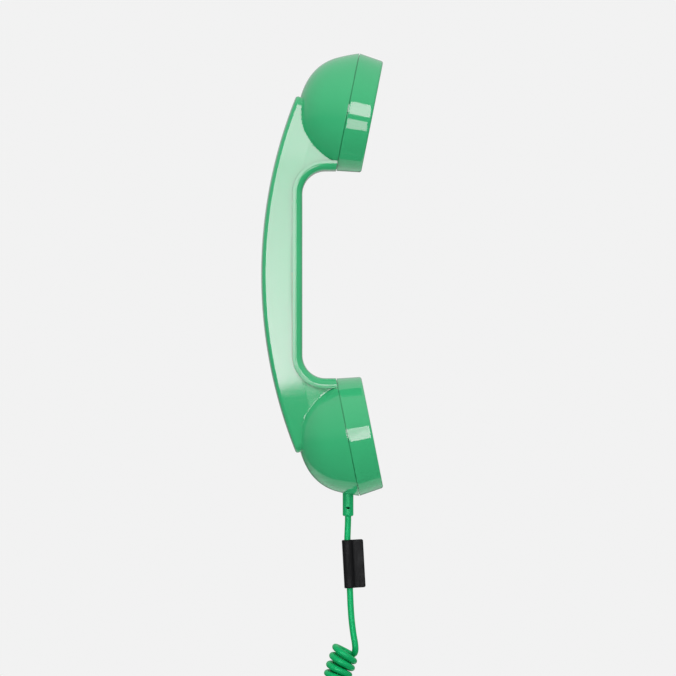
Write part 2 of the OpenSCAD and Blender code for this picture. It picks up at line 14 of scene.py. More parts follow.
import bmesh
import bpy
import numpy as np
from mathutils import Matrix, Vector


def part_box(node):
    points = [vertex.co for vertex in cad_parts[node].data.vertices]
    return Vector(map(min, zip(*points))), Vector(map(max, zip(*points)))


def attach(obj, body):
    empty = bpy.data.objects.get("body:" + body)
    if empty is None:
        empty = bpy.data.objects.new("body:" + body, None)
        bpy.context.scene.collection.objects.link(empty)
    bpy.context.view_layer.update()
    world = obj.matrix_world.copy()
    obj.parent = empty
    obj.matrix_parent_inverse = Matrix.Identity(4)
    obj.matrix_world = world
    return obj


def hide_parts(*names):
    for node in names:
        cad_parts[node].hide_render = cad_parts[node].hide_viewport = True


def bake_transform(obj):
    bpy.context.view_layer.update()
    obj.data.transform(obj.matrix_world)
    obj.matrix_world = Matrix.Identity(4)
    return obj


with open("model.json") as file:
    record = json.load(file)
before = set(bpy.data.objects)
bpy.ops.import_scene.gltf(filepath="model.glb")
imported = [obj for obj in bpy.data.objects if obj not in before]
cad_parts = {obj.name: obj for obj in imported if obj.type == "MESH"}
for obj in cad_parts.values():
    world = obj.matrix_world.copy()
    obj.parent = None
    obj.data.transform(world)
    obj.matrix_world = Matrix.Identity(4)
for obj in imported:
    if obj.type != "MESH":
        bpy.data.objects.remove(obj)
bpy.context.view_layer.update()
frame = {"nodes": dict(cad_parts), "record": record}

LOG = logging.getLogger("handset")
MM = 0.001
Array = np.ndarray


class Body(Enum):
    """The bodies that pieces ride on."""

    HANDSET = "handset"
    BUTTON = "button"
    PLUG = "plug"


# ---------------------------------------------------------------- shapes as distances


def meet_round(a: Array, b: Array, radius: float) -> Array:
    """Distance to what lies in both shapes, with their shared edge rounded.

    Args:
        a: Distances to the first shape, negative inside.
        b: Distances to the second shape.
        radius: Radius of the rounded edge.

    Returns:
        The combined distances.
    """
    u, v = np.maximum(a + radius, 0), np.maximum(b + radius, 0)
    return np.minimum(-radius, np.maximum(a, b)) + np.hypot(u, v)


def join_round(a: Array, b: Array, radius: float) -> Array:
    """Distance to what lies in either shape, with a fillet where they meet.

    Args:
        a: Distances to the first shape, negative inside.
        b: Distances to the second shape.
        radius: Radius of the fillet.

    Returns:
        The combined distances.
    """
    u, v = np.maximum(radius - a, 0), np.maximum(radius - b, 0)
    return np.maximum(radius, np.minimum(a, b)) - np.hypot(u, v)


def gradient(form: Callable[[Array], Array], points: Array, step: float = 0.01) -> Array:
    """Slope of a distance function.

    Args:
        form: The distance function, in millimetres.
        points: Points, one a row.
        step: Half of the span that each difference is taken over.

    Returns:
        One slope vector a row.
    """
    out = np.empty_like(points)
    for axis in range(3):
        shift = np.zeros(3)
        shift[axis] = step
        out[:, axis] = (form(points + shift) - form(points - shift)) / (2 * step)
    return out


def unit_rows(vectors: Array) -> Array:
    """Rows scaled to length one."""
    return vectors / np.maximum(np.linalg.norm(vectors, axis=1, keepdims=True), 1e-9)


def arc(centre: Sequence[float], radius: float, start: float, end: float,
        steps: int) -> list[tuple[float, float]]:
    """Points along an arc, its angles in degrees.

    Args:
        centre: Centre of the arc.
        radius: Its radius.
        start: First angle.
        end: Last angle.
        steps: Number of chords.

    Returns:
        The points, both ends included.
    """
    angles = np.radians(np.linspace(start, end, steps + 1))
    return [(centre[0] + radius * math.cos(a), centre[1] + radius * math.sin(a)) for a in angles]


# ---------------------------------------------------------------- meshes


def make_object(name: str, vertices: Array, faces: Sequence[Sequence[int]],
                smooth: bool = True) -> bpy.types.Object:
    """A mesh object from points in millimetres.

    Args:
        name: The object's name.
        vertices: One point a row.
        faces: Corner numbers of each face.
        smooth: Whether the faces are shaded smooth.

    Returns:
        The object, at the origin.
    """
    mesh = bpy.data.meshes.new(name)
    mesh.from_pydata((np.asarray(vertices, float) * MM).tolist(), [], [list(f) for f in faces])
    mesh.validate()
    if smooth:
        mesh.shade_smooth()
    piece = bpy.data.objects.new(name, mesh)
    bpy.context.scene.collection.objects.link(piece)
    return piece


def mend_normals(piece: bpy.types.Object) -> None:
    """Merges doubles and turns every face of a closed mesh outwards."""
    work = bmesh.new()
    work.from_mesh(piece.data)
    bmesh.ops.remove_doubles(work, verts=work.verts, dist=1e-7)
    bmesh.ops.recalc_face_normals(work, faces=work.faces)
    work.to_mesh(piece.data)
    work.free()


def sharpen(piece: bpy.types.Object, angle: float = 32) -> None:
    """Keeps edges steeper than an angle sharp, in degrees."""
    piece.data.shade_smooth()
    piece.data.set_sharp_from_angle(angle=math.radians(angle))


def turned(name: str, profile: Sequence[Sequence[float]], sides: int = 96) -> bpy.types.Object:
    """A closed solid of revolution about Z.

    Args:
        name: The object's name.
        profile: Points (radius, height); those with no radius become poles.
        sides: Number of facets round the axis.

    Returns:
        The object, with its normals outwards.
    """
    vertices: list[tuple[float, float, float]] = []
    rings: list[list[int]] = []
    for radius, height in profile:
        if radius < 1e-6:
            vertices.append((0, 0, height))
            rings.append([len(vertices) - 1] * sides)
            continue
        rings.append(list(range(len(vertices), len(vertices) + sides)))
        for k in range(sides):
            a = 2 * math.pi * k / sides
            vertices.append((radius * math.cos(a), radius * math.sin(a), height))
    closed = profile[0][0] > 1e-6 and profile[-1][0] > 1e-6
    faces = []
    for i in range(len(rings) if closed else len(rings) - 1):
        low, high = rings[i], rings[(i + 1) % len(rings)]
        for k in range(sides):
            m = (k + 1) % sides
            corners = list(dict.fromkeys([low[k], low[m], high[m], high[k]]))
            if len(corners) > 2:
                faces.append(corners)
    piece = make_object(name, np.array(vertices), faces)
    mend_normals(piece)
    return piece


def combine(piece: bpy.types.Object, other: bpy.types.Object, operation: str) -> None:
    """Joins, cuts or trims a piece with another closed mesh, which is then removed.

    Args:
        piece: The mesh that is changed.
        other: The mesh that it is combined with.
        operation: UNION, DIFFERENCE or INTERSECT.
    """
    modifier = piece.modifiers.new("combine", "BOOLEAN")
    modifier.object = other
    modifier.operation = operation
    modifier.solver = "MANIFOLD"
    bpy.context.view_layer.update()
    evaluated = piece.evaluated_get(bpy.context.evaluated_depsgraph_get())
    result = bpy.data.meshes.new_from_object(evaluated)
    piece.modifiers.clear()
    old, piece.data = piece.data, result
    bpy.data.meshes.remove(old)
    gone = other.data
    bpy.data.objects.remove(other)
    bpy.data.meshes.remove(gone)


def put(piece: bpy.types.Object, matrix: Array) -> bpy.types.Object:
    """Moves a piece's mesh by a 4 by 4 matrix whose shift is in millimetres."""
    points = read_points(piece) @ matrix[:3, :3].T + matrix[:3, 3]
    write_points(piece, points)
    if np.linalg.det(matrix[:3, :3]) < 0:
        piece.data.flip_normals()
    return piece


def read_points(piece: bpy.types.Object) -> Array:
    """A mesh's points in millimetres, one a row."""
    points = np.empty(len(piece.data.vertices) * 3)
    piece.data.vertices.foreach_get("co", points)
    return points.reshape(-1, 3) / MM


def write_points(piece: bpy.types.Object, points: Array) -> None:
    """Sets a mesh's points from millimetres."""
    piece.data.vertices.foreach_set("co", (points * MM).ravel())
    piece.data.update()


def graded(low: float, high: float, steps: int, ends: float = 0.12) -> Array:
    """Numbers from low to high that lie closer together near both ends.

    Args:
        low: First number.
        high: Last number.
        steps: Number of gaps.
        ends: How much closer they lie at the ends, as a share.

    Returns:
        The numbers.
    """
    t = np.linspace(0, 1, steps + 1)
    eased = 0.5 - 0.5 * np.cos(np.pi * t)
    return low + (high - low) * (ends * t + (1 - ends) * eased)


def block(name: str, counts: tuple[int, int, int], place: Callable[[Array], Array],
          grades: Sequence[Array]) -> bpy.types.Object:
    """The skin of a gridded block, each point of it placed by a function.

    Args:
        name: The object's name.
        counts: Number of cells along each of the three directions.
        place: Turns rows of three grid values into points.
        grades: The grid values along each direction.

    Returns:
        The closed mesh object.
    """
    index: dict[tuple[int, int, int], int] = {}
    values: list[tuple[float, float, float]] = []

    def corner(key: tuple[int, int, int]) -> int:
        """The number of a grid point, made when first asked for."""
        if key not in index:
            index[key] = len(values)
            values.append((grades[0][key[0]], grades[1][key[1]], grades[2][key[2]]))
        return index[key]

    faces = []
    for axis in range(3):
        u, v = (axis + 1) % 3, (axis + 2) % 3
        for side in (0, counts[axis]):
            for i in range(counts[u]):
                for j in range(counts[v]):
                    keys = []
                    for di, dj in ((0, 0), (1, 0), (1, 1), (0, 1)):
                        key = [0, 0, 0]
                        key[axis], key[u], key[v] = side, i + di, j + dj
                        keys.append(corner((key[0], key[1], key[2])))
                    faces.append(keys if side else keys[::-1])
    piece = make_object(name, place(np.array(values)), faces)
    mend_normals(piece)
    return piece


# ---------------------------------------------------------------- geometry nodes


class NodeTool:
    """A geometry node tree with named inputs, used once and baked."""

    def __init__(self, name: str, sizes: Sequence[tuple[str, str, object]]) -> None:
        """Starts a tree.

        Args:
            name: The tree's name.
            sizes: Each input's name, socket type and value.
        """
        self.tree = bpy.data.node_groups.new(name, "GeometryNodeTree")
        self.tree.interface.new_socket("Geometry", in_out="INPUT", socket_type="NodeSocketGeometry")
        self.tree.interface.new_socket("Geometry", in_out="OUTPUT", socket_type="NodeSocketGeometry")
        self.sizes = {}
        for label, kind, value in sizes:
            socket = self.tree.interface.new_socket(label, in_out="INPUT", socket_type=kind)
            self.sizes[label] = (socket.identifier, value)
        self.start = self.tree.nodes.new("NodeGroupInput")
        self.end = self.tree.nodes.new("NodeGroupOutput")

    def add(self, kind: str, **inputs: object) -> bpy.types.Node:
        """Adds a node; inputs are sockets to link from, or plain values."""
        node = self.tree.nodes.new(kind)
        for label, value in inputs.items():
            socket = node.inputs[label.replace("_", " ")]
            if isinstance(value, bpy.types.NodeSocket):
                self.tree.links.new(value, socket)
            else:
                socket.default_value = value
        return node

    def finish(self, shape: bpy.types.NodeSocket) -> None:
        """Ends the tree in Realize Instances and Set Material."""
        real = self.add("GeometryNodeRealizeInstances", Geometry=shape)
        dressed = self.add("GeometryNodeSetMaterial", Geometry=real.outputs[0],
                           Material=self.start.outputs["Finish"])
        self.tree.links.new(dressed.outputs[0], self.end.inputs[0])

    def bake(self, piece: bpy.types.Object, name: str) -> bpy.types.Object:
        """Runs the tree on an object and returns the result as a plain mesh object."""
        modifier = piece.modifiers.new(self.tree.name, "NODES")
        modifier.node_group = self.tree
        for identifier, value in self.sizes.values():
            modifier[identifier] = value
        bpy.context.view_layer.update()
        evaluated = piece.evaluated_get(bpy.context.evaluated_depsgraph_get())
        mesh = bpy.data.meshes.new_from_object(evaluated)
        mesh.name = name
        bpy.data.objects.remove(piece)
        bpy.data.node_groups.remove(self.tree)
        result = bpy.data.objects.new(name, mesh)
        bpy.context.scene.collection.objects.link(result)
        return result


def ring_cutters(name: str, radius: float, flare: float, depth: float,
                 rings: Sequence[tuple[float, int, float]],
                 material: bpy.types.Material) -> bpy.types.Object:
    """Round cutters on circles about Z, each flared at its top.

    Args:
        name: The object's name.
        radius: Radius of each hole.
        flare: How much wider each hole is at its mouth.
        depth: How far the straight part reaches down from the mouth.
        rings: Radius, count and first angle in degrees of each circle.
        material: The finish that the holes' walls get.

    Returns:
        The cutters as one mesh, their mouths at height zero.
    """
    points = []
    for circle, count, first in rings:
        for k in range(count):
            a = math.radians(first + 360 * k / count)
            points.append((circle * math.cos(a) * MM, circle * math.sin(a) * MM, 0))
    cloud = bpy.data.meshes.new(name + "_points")
    cloud.from_pydata(points, [], [])
    holder = bpy.data.objects.new(name + "_points", cloud)
    bpy.context.scene.collection.objects.link(holder)
    tool = NodeTool("sound_holes", [
        ("Hole radius", "NodeSocketFloat", radius * MM), ("Flare", "NodeSocketFloat", flare * MM),
        ("Depth", "NodeSocketFloat", depth * MM), ("Finish", "NodeSocketMaterial", material)])
    size = tool.start.outputs
    wide = tool.add("ShaderNodeMath", Value=size["Hole radius"])
    wide.operation = "ADD"
    tool.tree.links.new(size["Flare"], wide.inputs[1])
    straight = tool.add("GeometryNodeMeshCylinder", Vertices=20, Radius=size["Hole radius"],
                        Depth=size["Depth"])
    lower = tool.add("ShaderNodeMath", Value=size["Depth"])
    lower.operation = "MULTIPLY"
    lower.inputs[1].default_value = -0.5
    shift = tool.add("ShaderNodeCombineXYZ", Z=lower.outputs[0])
    shaft = tool.add("GeometryNodeTransform", Geometry=straight.outputs[0], Translation=shift.outputs[0])
    mouth = tool.add("GeometryNodeMeshCone", Vertices=20, Radius_Top=wide.outputs[0],
                     Radius_Bottom=size["Hole radius"], Depth=size["Flare"])
    both = tool.add("GeometryNodeJoinGeometry")
    for part in (mouth, shaft):
        tool.tree.links.new(part.outputs[0], both.inputs[0])
    spread = tool.add("GeometryNodeInstanceOnPoints", Points=size["Geometry"], Instance=both.outputs[0])
    tool.finish(spread.outputs[0])
    return tool.bake(holder, name)


# ---------------------------------------------------------------- finishes


class Nodes:
    """Short hand for building a material's nodes."""

    def __init__(self, name: str) -> None:
        """Starts a material with its shader.

        Args:
            name: The material's name.
        """
        self.material = bpy.data.materials.new(name)
        self.material.use_nodes = True
        self.tree = self.material.node_tree
        self.shader = self.tree.nodes["Principled BSDF"]

    def add(self, kind: str, **inputs: object) -> bpy.types.Node:
        """Adds a node; inputs are sockets to link from, or plain values."""
        node = self.tree.nodes.new(kind)
        for label, value in inputs.items():
            socket = node.inputs[label.replace("_", " ")]
            if isinstance(value, bpy.types.NodeSocket):
                self.tree.links.new(value, socket)
            else:
                socket.default_value = value
        return node

    def noise(self, scale: float, detail: float = 3,
              stretch: Sequence[float] = (1, 1, 1)) -> bpy.types.NodeSocket:
        """Noise over the piece, its scale in features a metre."""
        place = self.add("ShaderNodeTexCoord").outputs["Object"]
        mapping = self.add("ShaderNodeMapping", Vector=place, Scale=tuple(stretch))
        return self.add("ShaderNodeTexNoise", Vector=mapping.outputs[0], Scale=scale,
                        Detail=detail).outputs["Fac"]

    def spread(self, value: bpy.types.NodeSocket, low: float, high: float, start: float = 0.3,
               end: float = 0.7) -> bpy.types.NodeSocket:
        """Maps a value from one span to another."""
        node = self.add("ShaderNodeMapRange", Value=value, From_Min=start, From_Max=end, To_Min=low,
                        To_Max=high)
        return node.outputs[0]

    def shades(self, value: bpy.types.NodeSocket, low: Sequence[float], high: Sequence[float]) -> None:
        """Colours the shader between two shades by a value from 0 to 1."""
        mix = self.tree.nodes.new("ShaderNodeMix")
        mix.data_type = "RGBA"
        self.tree.links.new(value, mix.inputs[0])
        mix.inputs[6].default_value = (*low, 1)
        mix.inputs[7].default_value = (*high, 1)
        self.tree.links.new(mix.outputs[2], self.shader.inputs["Base Color"])

    def bumps(self, layers: Sequence[tuple[bpy.types.NodeSocket, float, float]]) -> None:
        """Chains bump layers of height, strength and depth in metres."""
        last = None
        for height, strength, depth in layers:
            node = self.add("ShaderNodeBump", Height=height, Strength=strength, Distance=depth)
            if last is not None:
                self.tree.links.new(last, node.inputs["Normal"])
            last = node.outputs[0]
        self.tree.links.new(last, self.shader.inputs["Normal"])

    def set(self, **values: object) -> None:
        """Sets plain values on the shader's own sockets."""
        for label, value in values.items():
            self.shader.inputs[label.replace("_", " ")].default_value = value


@dataclass(frozen=True)
class Moulded:
    """Injection moulded plastic, from mirror gloss to a fine sparked texture."""

    name: str
    shade: tuple[float, float, float]
    mottle: float = 0.04
    roughness: float = 0.08
    grain: float = 0.0
    grain_scale: float = 2600
    wave: float = 0.00004
    tint: tuple[float, float, float] = (1, 1, 1)
    specular: float = 0.5

    def make(self) -> bpy.types.Material:
        """Builds the material."""
        n = Nodes(self.name)
        low = [c * (1 - self.mottle) for c in self.shade]
        high = [c * (1 + self.mottle) for c in self.shade]
        n.shades(n.spread(n.noise(38, 2), 0, 1), low, high)
        rough = n.add("ShaderNodeMath", Value=n.spread(n.noise(160, 4), self.roughness * 0.8,
                                                       self.roughness * 1.25))
        rough.operation = "ADD"
        scuffs = n.noise(900, 2, (1, 1, 0.06))
        n.tree.links.new(n.spread(scuffs, 0, self.roughness * 0.5, 0.62, 0.75), rough.inputs[1])
        n.tree.links.new(rough.outputs[0], n.shader.inputs["Roughness"])
        layers = [(n.noise(26, 1), 0.35, self.wave * 4), (scuffs, 0.05, 0.000004)]
        if self.grain:
            layers.append((n.noise(self.grain_scale, 3), self.grain, 0.00006))
        n.bumps(layers)
        n.set(Specular_IOR_Level=self.specular, IOR=1.49, Specular_Tint=(*self.tint, 1))
        return n.material


@dataclass(frozen=True)
class Jacket:
    """Extruded cord jacket: satin, with faint drawing lines along the strand."""

    name: str
    shade: tuple[float, float, float]
    roughness: float = 0.34
    tint: tuple[float, float, float] = (1, 1, 1)
    specular: float = 0.5

    def make(self) -> bpy.types.Material:
        """Builds the material."""
        n = Nodes(self.name)
        n.shades(n.spread(n.noise(60, 3), 0, 1), [c * 0.94 for c in self.shade],
                 [c * 1.06 for c in self.shade])
        n.tree.links.new(n.spread(n.noise(700, 3), self.roughness * 0.85, self.roughness * 1.2),
                         n.shader.inputs["Roughness"])
        across = n.add("ShaderNodeAttribute")
        across.attribute_name = "round_strand"
        lines = n.add("ShaderNodeTexNoise", Vector=across.outputs["Vector"], Scale=1.0, Detail=2.0)
        n.bumps([(lines.outputs["Fac"], 0.015, 0.000004), (n.noise(500, 2), 0.03, 0.00001)])
        n.set(Specular_IOR_Level=self.specular, Specular_Tint=(*self.tint, 1))
        return n.material


@dataclass(frozen=True)
class Metal:
    """Plated or cast metal, plain or with fine turning marks."""

    name: str
    shade: tuple[float, float, float]
    roughness: float = 0.2
    turning: float = 0.1

    def make(self) -> bpy.types.Material:
        """Builds the material."""
        n = Nodes(self.name)
        n.shades(n.spread(n.noise(220, 4), 0, 1), [c * 0.88 for c in self.shade], self.shade)
        n.tree.links.new(n.spread(n.noise(900, 4), self.roughness * 0.7, self.roughness * 1.4),
                         n.shader.inputs["Roughness"])
        n.bumps([(n.noise(1500, 2, (0.15, 0.15, 4)), self.turning, 0.00002)])
        n.set(Metallic=1.0)
        return n.material


@dataclass(frozen=True)
class Woven:
    """Fine acoustic cloth: two crossed sets of threads."""

    name: str
    shade: tuple[float, float, float]
    threads: float = 2200

    def make(self) -> bpy.types.Material:
        """Builds the material."""
        n = Nodes(self.name)
        place = n.add("ShaderNodeTexCoord").outputs["Object"]
        waves = []
        for direction in ("Y", "Z"):
            wave = n.add("ShaderNodeTexWave", Vector=place, Scale=self.threads / 20, Distortion=0.3)
            wave.bands_direction = direction
            waves.append(wave.outputs["Fac"])
        both = n.add("ShaderNodeMath", Value=waves[0])
        both.operation = "MULTIPLY"
        n.tree.links.new(waves[1], both.inputs[1])
        n.shades(both.outputs[0], [c * 0.4 for c in self.shade], self.shade)
        n.bumps([(both.outputs[0], 0.6, 0.0001)])
        n.set(Roughness=0.85)
        return n.material


GREEN = (0.038, 0.395, 0.160)
FINISHES = {
    "shell": Moulded("gloss_green_shell", GREEN, 0.02, 0.06, tint=(1.0, 0.68, 0.88)),
    "button": Moulded("satin_green_button", (0.026, 0.29, 0.115), 0.03, 0.2, 0.05, tint=(1.0, 0.7, 0.88)),
    "relief": Moulded("green_relief_rubber", (0.002, 0.37, 0.12), 0.02, 0.42, 0.03, tint=(0.4, 0.9, 0.6),
                      specular=0.35),
    "cord": Jacket("green_cord_jacket", (0.001, 0.34, 0.10), 0.4, tint=(0.25, 0.9, 0.6), specular=0.4),
    "tag": Moulded("black_tag_rubber", (0.004, 0.004, 0.0048), 0.1, 0.6, 0.1, 3200, specular=0.12),
    "plug": Moulded("black_plug_plastic", (0.014, 0.014, 0.015), 0.08, 0.45, 0.15),
    "contact": Metal("gilt_contact", (0.83, 0.62, 0.27), 0.16),
    "insulator": Moulded("black_insulator", (0.01, 0.01, 0.01), 0.05, 0.3),
    "mesh": Woven("acoustic_cloth", (0.02, 0.02, 0.022)),
    "frame": Moulded("black_frame_plastic", (0.02, 0.02, 0.021), 0.06, 0.4, 0.1),
    "steel": Metal("zinc_steel", (0.62, 0.63, 0.66), 0.28),
    "cone": Moulded("pressed_cone", (0.03, 0.03, 0.033), 0.15, 0.7, 0.3, 1400),
    "gasket": Moulded("foam_gasket", (0.018, 0.018, 0.02), 0.2, 0.9, 0.5, 1800),
    "capsule": Metal("drawn_can", (0.7, 0.71, 0.73), 0.3),
    "board": Moulded("green_board", (0.006, 0.05, 0.02), 0.1, 0.3, 0.06, 900),
    "chip": Moulded("moulded_chip", (0.012, 0.012, 0.013), 0.05, 0.5, 0.2),
    "plunger": Moulded("nylon_plunger", (0.68, 0.68, 0.64), 0.03, 0.4, 0.05),
    "ballast": Metal("sawn_bar", (0.30, 0.31, 0.32), 0.5, 0.4),
    "wire_red": Moulded("red_wire", (0.32, 0.012, 0.01), 0.04, 0.4, 0.05),
    "wire_blue": Moulded("blue_wire", (0.012, 0.03, 0.24), 0.04, 0.4, 0.05),
    "core": Moulded("copper_core", (0.45, 0.14, 0.05), 0.04, 0.4, 0.05),
}
MATERIALS: dict[str, bpy.types.Material] = {}


def finish_of(slot: str) -> bpy.types.Material:
    """The material of a slot, built when first asked for."""
    if slot not in MATERIALS:
        MATERIALS[slot] = FINISHES[slot].make()
    return MATERIALS[slot]


def dress(piece: bpy.types.Object, slot: str, body: Body | None, *nodes: str) -> bpy.types.Object:
    """Gives a piece its finish, its body and the CAD nodes it stands for.

    Args:
        piece: The finished mesh object.
        slot: The material slot it takes.
        body: The body it rides on, or None for a piece that rides on no body.
        nodes: The CAD nodes that it replaces.

    Returns:
        The piece.
    """
    piece.data.materials.clear()
    piece.data.materials.append(finish_of(slot))
    if body is not None:
        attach(piece, body.value)
    if nodes:
        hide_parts(*nodes)
    LOG.info("%s: %d faces, %s", piece.name, len(piece.data.polygons), slot)
    return piece


# ---------------------------------------------------------------- the handset's form


@dataclass
class Form:
    """The sizes that the shells, caps and bead share, and their distances."""

    cup_z: float = 77.2
    cup_x: float = 31.3
    tilt: float = 11.3
    wall: float = 2.2
    seam_gap: float = 0.03
    cup_r: float = 28.4
    flank_r: float = 74
    shoulder_r: float = 22.8
    slope: float = 18
    shoulder_at: float = 26.5
    crown_at: float = 70
    grip_front: float = 9.75
    back_r: float = 225.2
    tip_z: float = 84.9
    half_w: float = 13
    bulge: float = 3
    side_depth: float = 14
    side_power: float = 1.15
    grip_depth: float = 26
    back_fillet: float = 1.2
    back_crown_r: float = 60
    tip_corner_r: float = 4
    bay_z: float = 49.25
    bay_r: float = 11
    bead_depth: float = 4.75
    bead_half_w: float = 14.2
    bead_round: float = 3.3
    bead_wall: float = 3.2
    crease_r: float = 0.14
    lip_r: float = 0.18
    collar_r: float = 25.1

    def __post_init__(self) -> None:
        """Works out the centres of the bowl's arcs."""
        radians = math.radians
        self.c1 = np.array([self.cup_r - self.flank_r * math.cos(radians(self.slope)),
                            self.flank_r * math.sin(radians(self.slope))])
        a = radians(self.shoulder_at)
        self.c2 = self.c1 + (self.flank_r - self.shoulder_r) * np.array([math.cos(a), -math.sin(a)])
        b = radians(self.crown_at)
        end = self.c2 + self.shoulder_r * np.array([math.cos(b), -math.sin(b)])
        self.crown_r = end[0] / math.cos(b)
        self.c3 = np.array([0, end[1] + self.crown_r * math.sin(b)])
        self.back_x = self.back_r - self.grip_front
        self.tip_a = math.asin(self.tip_z / self.back_r)

    def at_cup(self, end: int) -> Array:
        """The matrix from a cup's own frame: end is 1 for the earpiece, -1 below."""
        t = math.radians(self.tilt)
        matrix = np.eye(4)
        matrix[:3, 0] = (-math.sin(t), 0, -math.cos(t))
        matrix[:3, 1] = (0, 1, 0)
        matrix[:3, 2] = (math.cos(t), 0, -math.sin(t))
        matrix[:3, 3] = (self.cup_x, 0, self.cup_z)
        return np.diag([1, 1, end, 1]) @ matrix

    def in_cup(self, points: Array, end: int) -> tuple[Array, Array]:
        """Radius and height of points in a cup's own frame."""
        t = math.radians(self.tilt)
        dx, dz = points[:, 0] - self.cup_x, end * points[:, 2] - self.cup_z
        along = -dx * math.sin(t) - dz * math.cos(t)
        return np.hypot(along, points[:, 1]), dx * math.cos(t) - dz * math.sin(t)

    def past_seam(self, points: Array, end: int) -> Array:
        """Height above a cup's seam, for the points on that cup's side of the middle."""
        return np.where(end * points[:, 2] > 20, self.in_cup(points, end)[1], -40.0)

    def bowl(self, points: Array, end: int) -> Array:
        """Distance to a bowl's outside."""
        r, h = self.in_cup(points, end)
        angle = np.degrees(np.arctan2(h - self.c2[1], r - self.c2[0]))
        flank = np.hypot(r - self.c1[0], h - self.c1[1]) - self.flank_r
        shoulder = np.hypot(r - self.c2[0], h - self.c2[1]) - self.shoulder_r
        crown = np.hypot(r - self.c3[0], h - self.c3[1]) - self.crown_r
        return np.where(angle > -self.shoulder_at, flank, np.where(angle < -self.crown_at, crown, shoulder))

    def bowl_profile(self, inset: float, fine: int) -> list[tuple[float, float]]:
        """The bowl's section, from its seam to its pole, moved inwards by inset."""
        return (arc(self.c1, self.flank_r - inset, -self.slope, -self.shoulder_at, fine)
                + arc(self.c2, self.shoulder_r - inset, -self.shoulder_at, -self.crown_at, 2 * fine)[1:]
                + arc(self.c3, self.crown_r - inset, -self.crown_at, -90, fine)[1:])

    def side_w(self, depth: Array) -> Array:
        """Half width of the grip at a depth below its back."""
        return self.half_w - self.bulge * np.maximum(0, 1 - depth / self.side_depth) ** self.side_power

    def grip(self, points: Array) -> Array:
        """Distance to the grip, its edges rounded."""
        dx = self.back_x - points[:, 0]
        reach = np.hypot(dx, points[:, 2])
        depth = self.back_r - reach
        across = np.abs(points[:, 1])
        back = -depth + across ** 2 / (2 * self.back_crown_r)
        share = np.maximum(1e-6, 1 - depth / self.side_depth)
        tangent = self.side_power * self.bulge / self.side_depth * share ** (self.side_power - 1)
        side = (across - self.side_w(depth)) / np.hypot(1, tangent)
        tip = reach * np.sin(np.arctan2(np.abs(points[:, 2]), dx) - self.tip_a)
        wall = meet_round(side, tip, self.tip_corner_r)
        return meet_round(wall, back, self.back_fillet)

    def outside(self, points: Array) -> Array:
        """Distance to the rear shell's outer form, with its creases filleted."""
        whole = self.grip(points)
        for end in (1, -1):
            whole = join_round(whole, self.bowl(points, end), self.crease_r)
        for end in (1, -1):
            whole = meet_round(whole, self.past_seam(points, end), self.lip_r)
        return whole

    def bay(self, points: Array, reach: float) -> Array:
        """Distance to the opening between the cups, grown by reach; negative in it."""
        r, h = self.bay_r + reach, self.bay_z + reach
        u = self.grip_front - reach + r - points[:, 0]
        v = np.abs(points[:, 2]) - (h - r)
        return np.hypot(np.maximum(u, 0), np.maximum(v, 0)) + np.minimum(np.maximum(u, v), 0) - r

    def bead(self, points: Array) -> Array:
        """Distance to the bead's outer form."""
        skin = meet_round(-self.bay(points, 0), np.abs(points[:, 1]) - self.bead_half_w, self.bead_round)
        for end in (1, -1):
            skin = meet_round(skin, self.past_seam(points, end), 0.2)
        return skin

    def bay_path(self, fine: int) -> tuple[Array, Array]:
        """The opening's edge in XZ with the direction into the wall at each point."""
        r, h, x = self.bay_r, self.bay_z, self.grip_front
        spots, ways = [], []
        for z in np.linspace(-(h - r), 0, 20)[:-1]:
            spots.append((x, z))
            ways.append((-1.0, 0.0))
        half = list(zip(spots, ways))[::-1]
        tail = []
        for k in range(fine + 1):
            a = math.pi / 2 * k / fine
            tail.append(((x + r - r * math.cos(a), -(h - r) - r * math.sin(a)), (-math.cos(a), -math.sin(a))))
        for dx in np.linspace(0, 18, 10)[1:]:
            tail.append(((x + r + dx, -h), (0.0, -1.0)))
        low = tail[::-1] + half[::-1][1:] + [((x, 0.0), (-1.0, 0.0))]
        both = low + [((p[0], -p[1]), (d[0], -d[1])) for p, d in low[::-1][1:]]
        return np.array([p for p, _ in both]), np.array([d for _, d in both])

    def half_space(self, end: int, gap: float) -> bpy.types.Object:
        """A box in front of a cup's seam."""
        corners = [(x, y, z) for z in (-gap, 60) for x, y in ((-60, -60), (60, -60), (60, 60), (-60, 60))]
        faces = [(0, 3, 2, 1), (4, 5, 6, 7), (0, 1, 5, 4), (1, 2, 6, 5), (2, 3, 7, 6), (3, 0, 4, 7)]
        box = put(make_object("seam_cutter", np.array(corners, float), faces), self.at_cup(end))
        mend_normals(box)
        return box

    def bowl_room(self, end: int) -> bpy.types.Object:
        """The hollow of a bowl, as a cutter."""
        inner = [(min(r, self.collar_r + 0.1), h) for r, h in self.bowl_profile(self.wall, 12)]
        profile = [(0, 4), (self.collar_r + 0.1, 4), *inner[:-1], (0, inner[-1][1])]
        room = put(turned("bowl_room", profile, 96), self.at_cup(end))
        mend_normals(room)
        return room

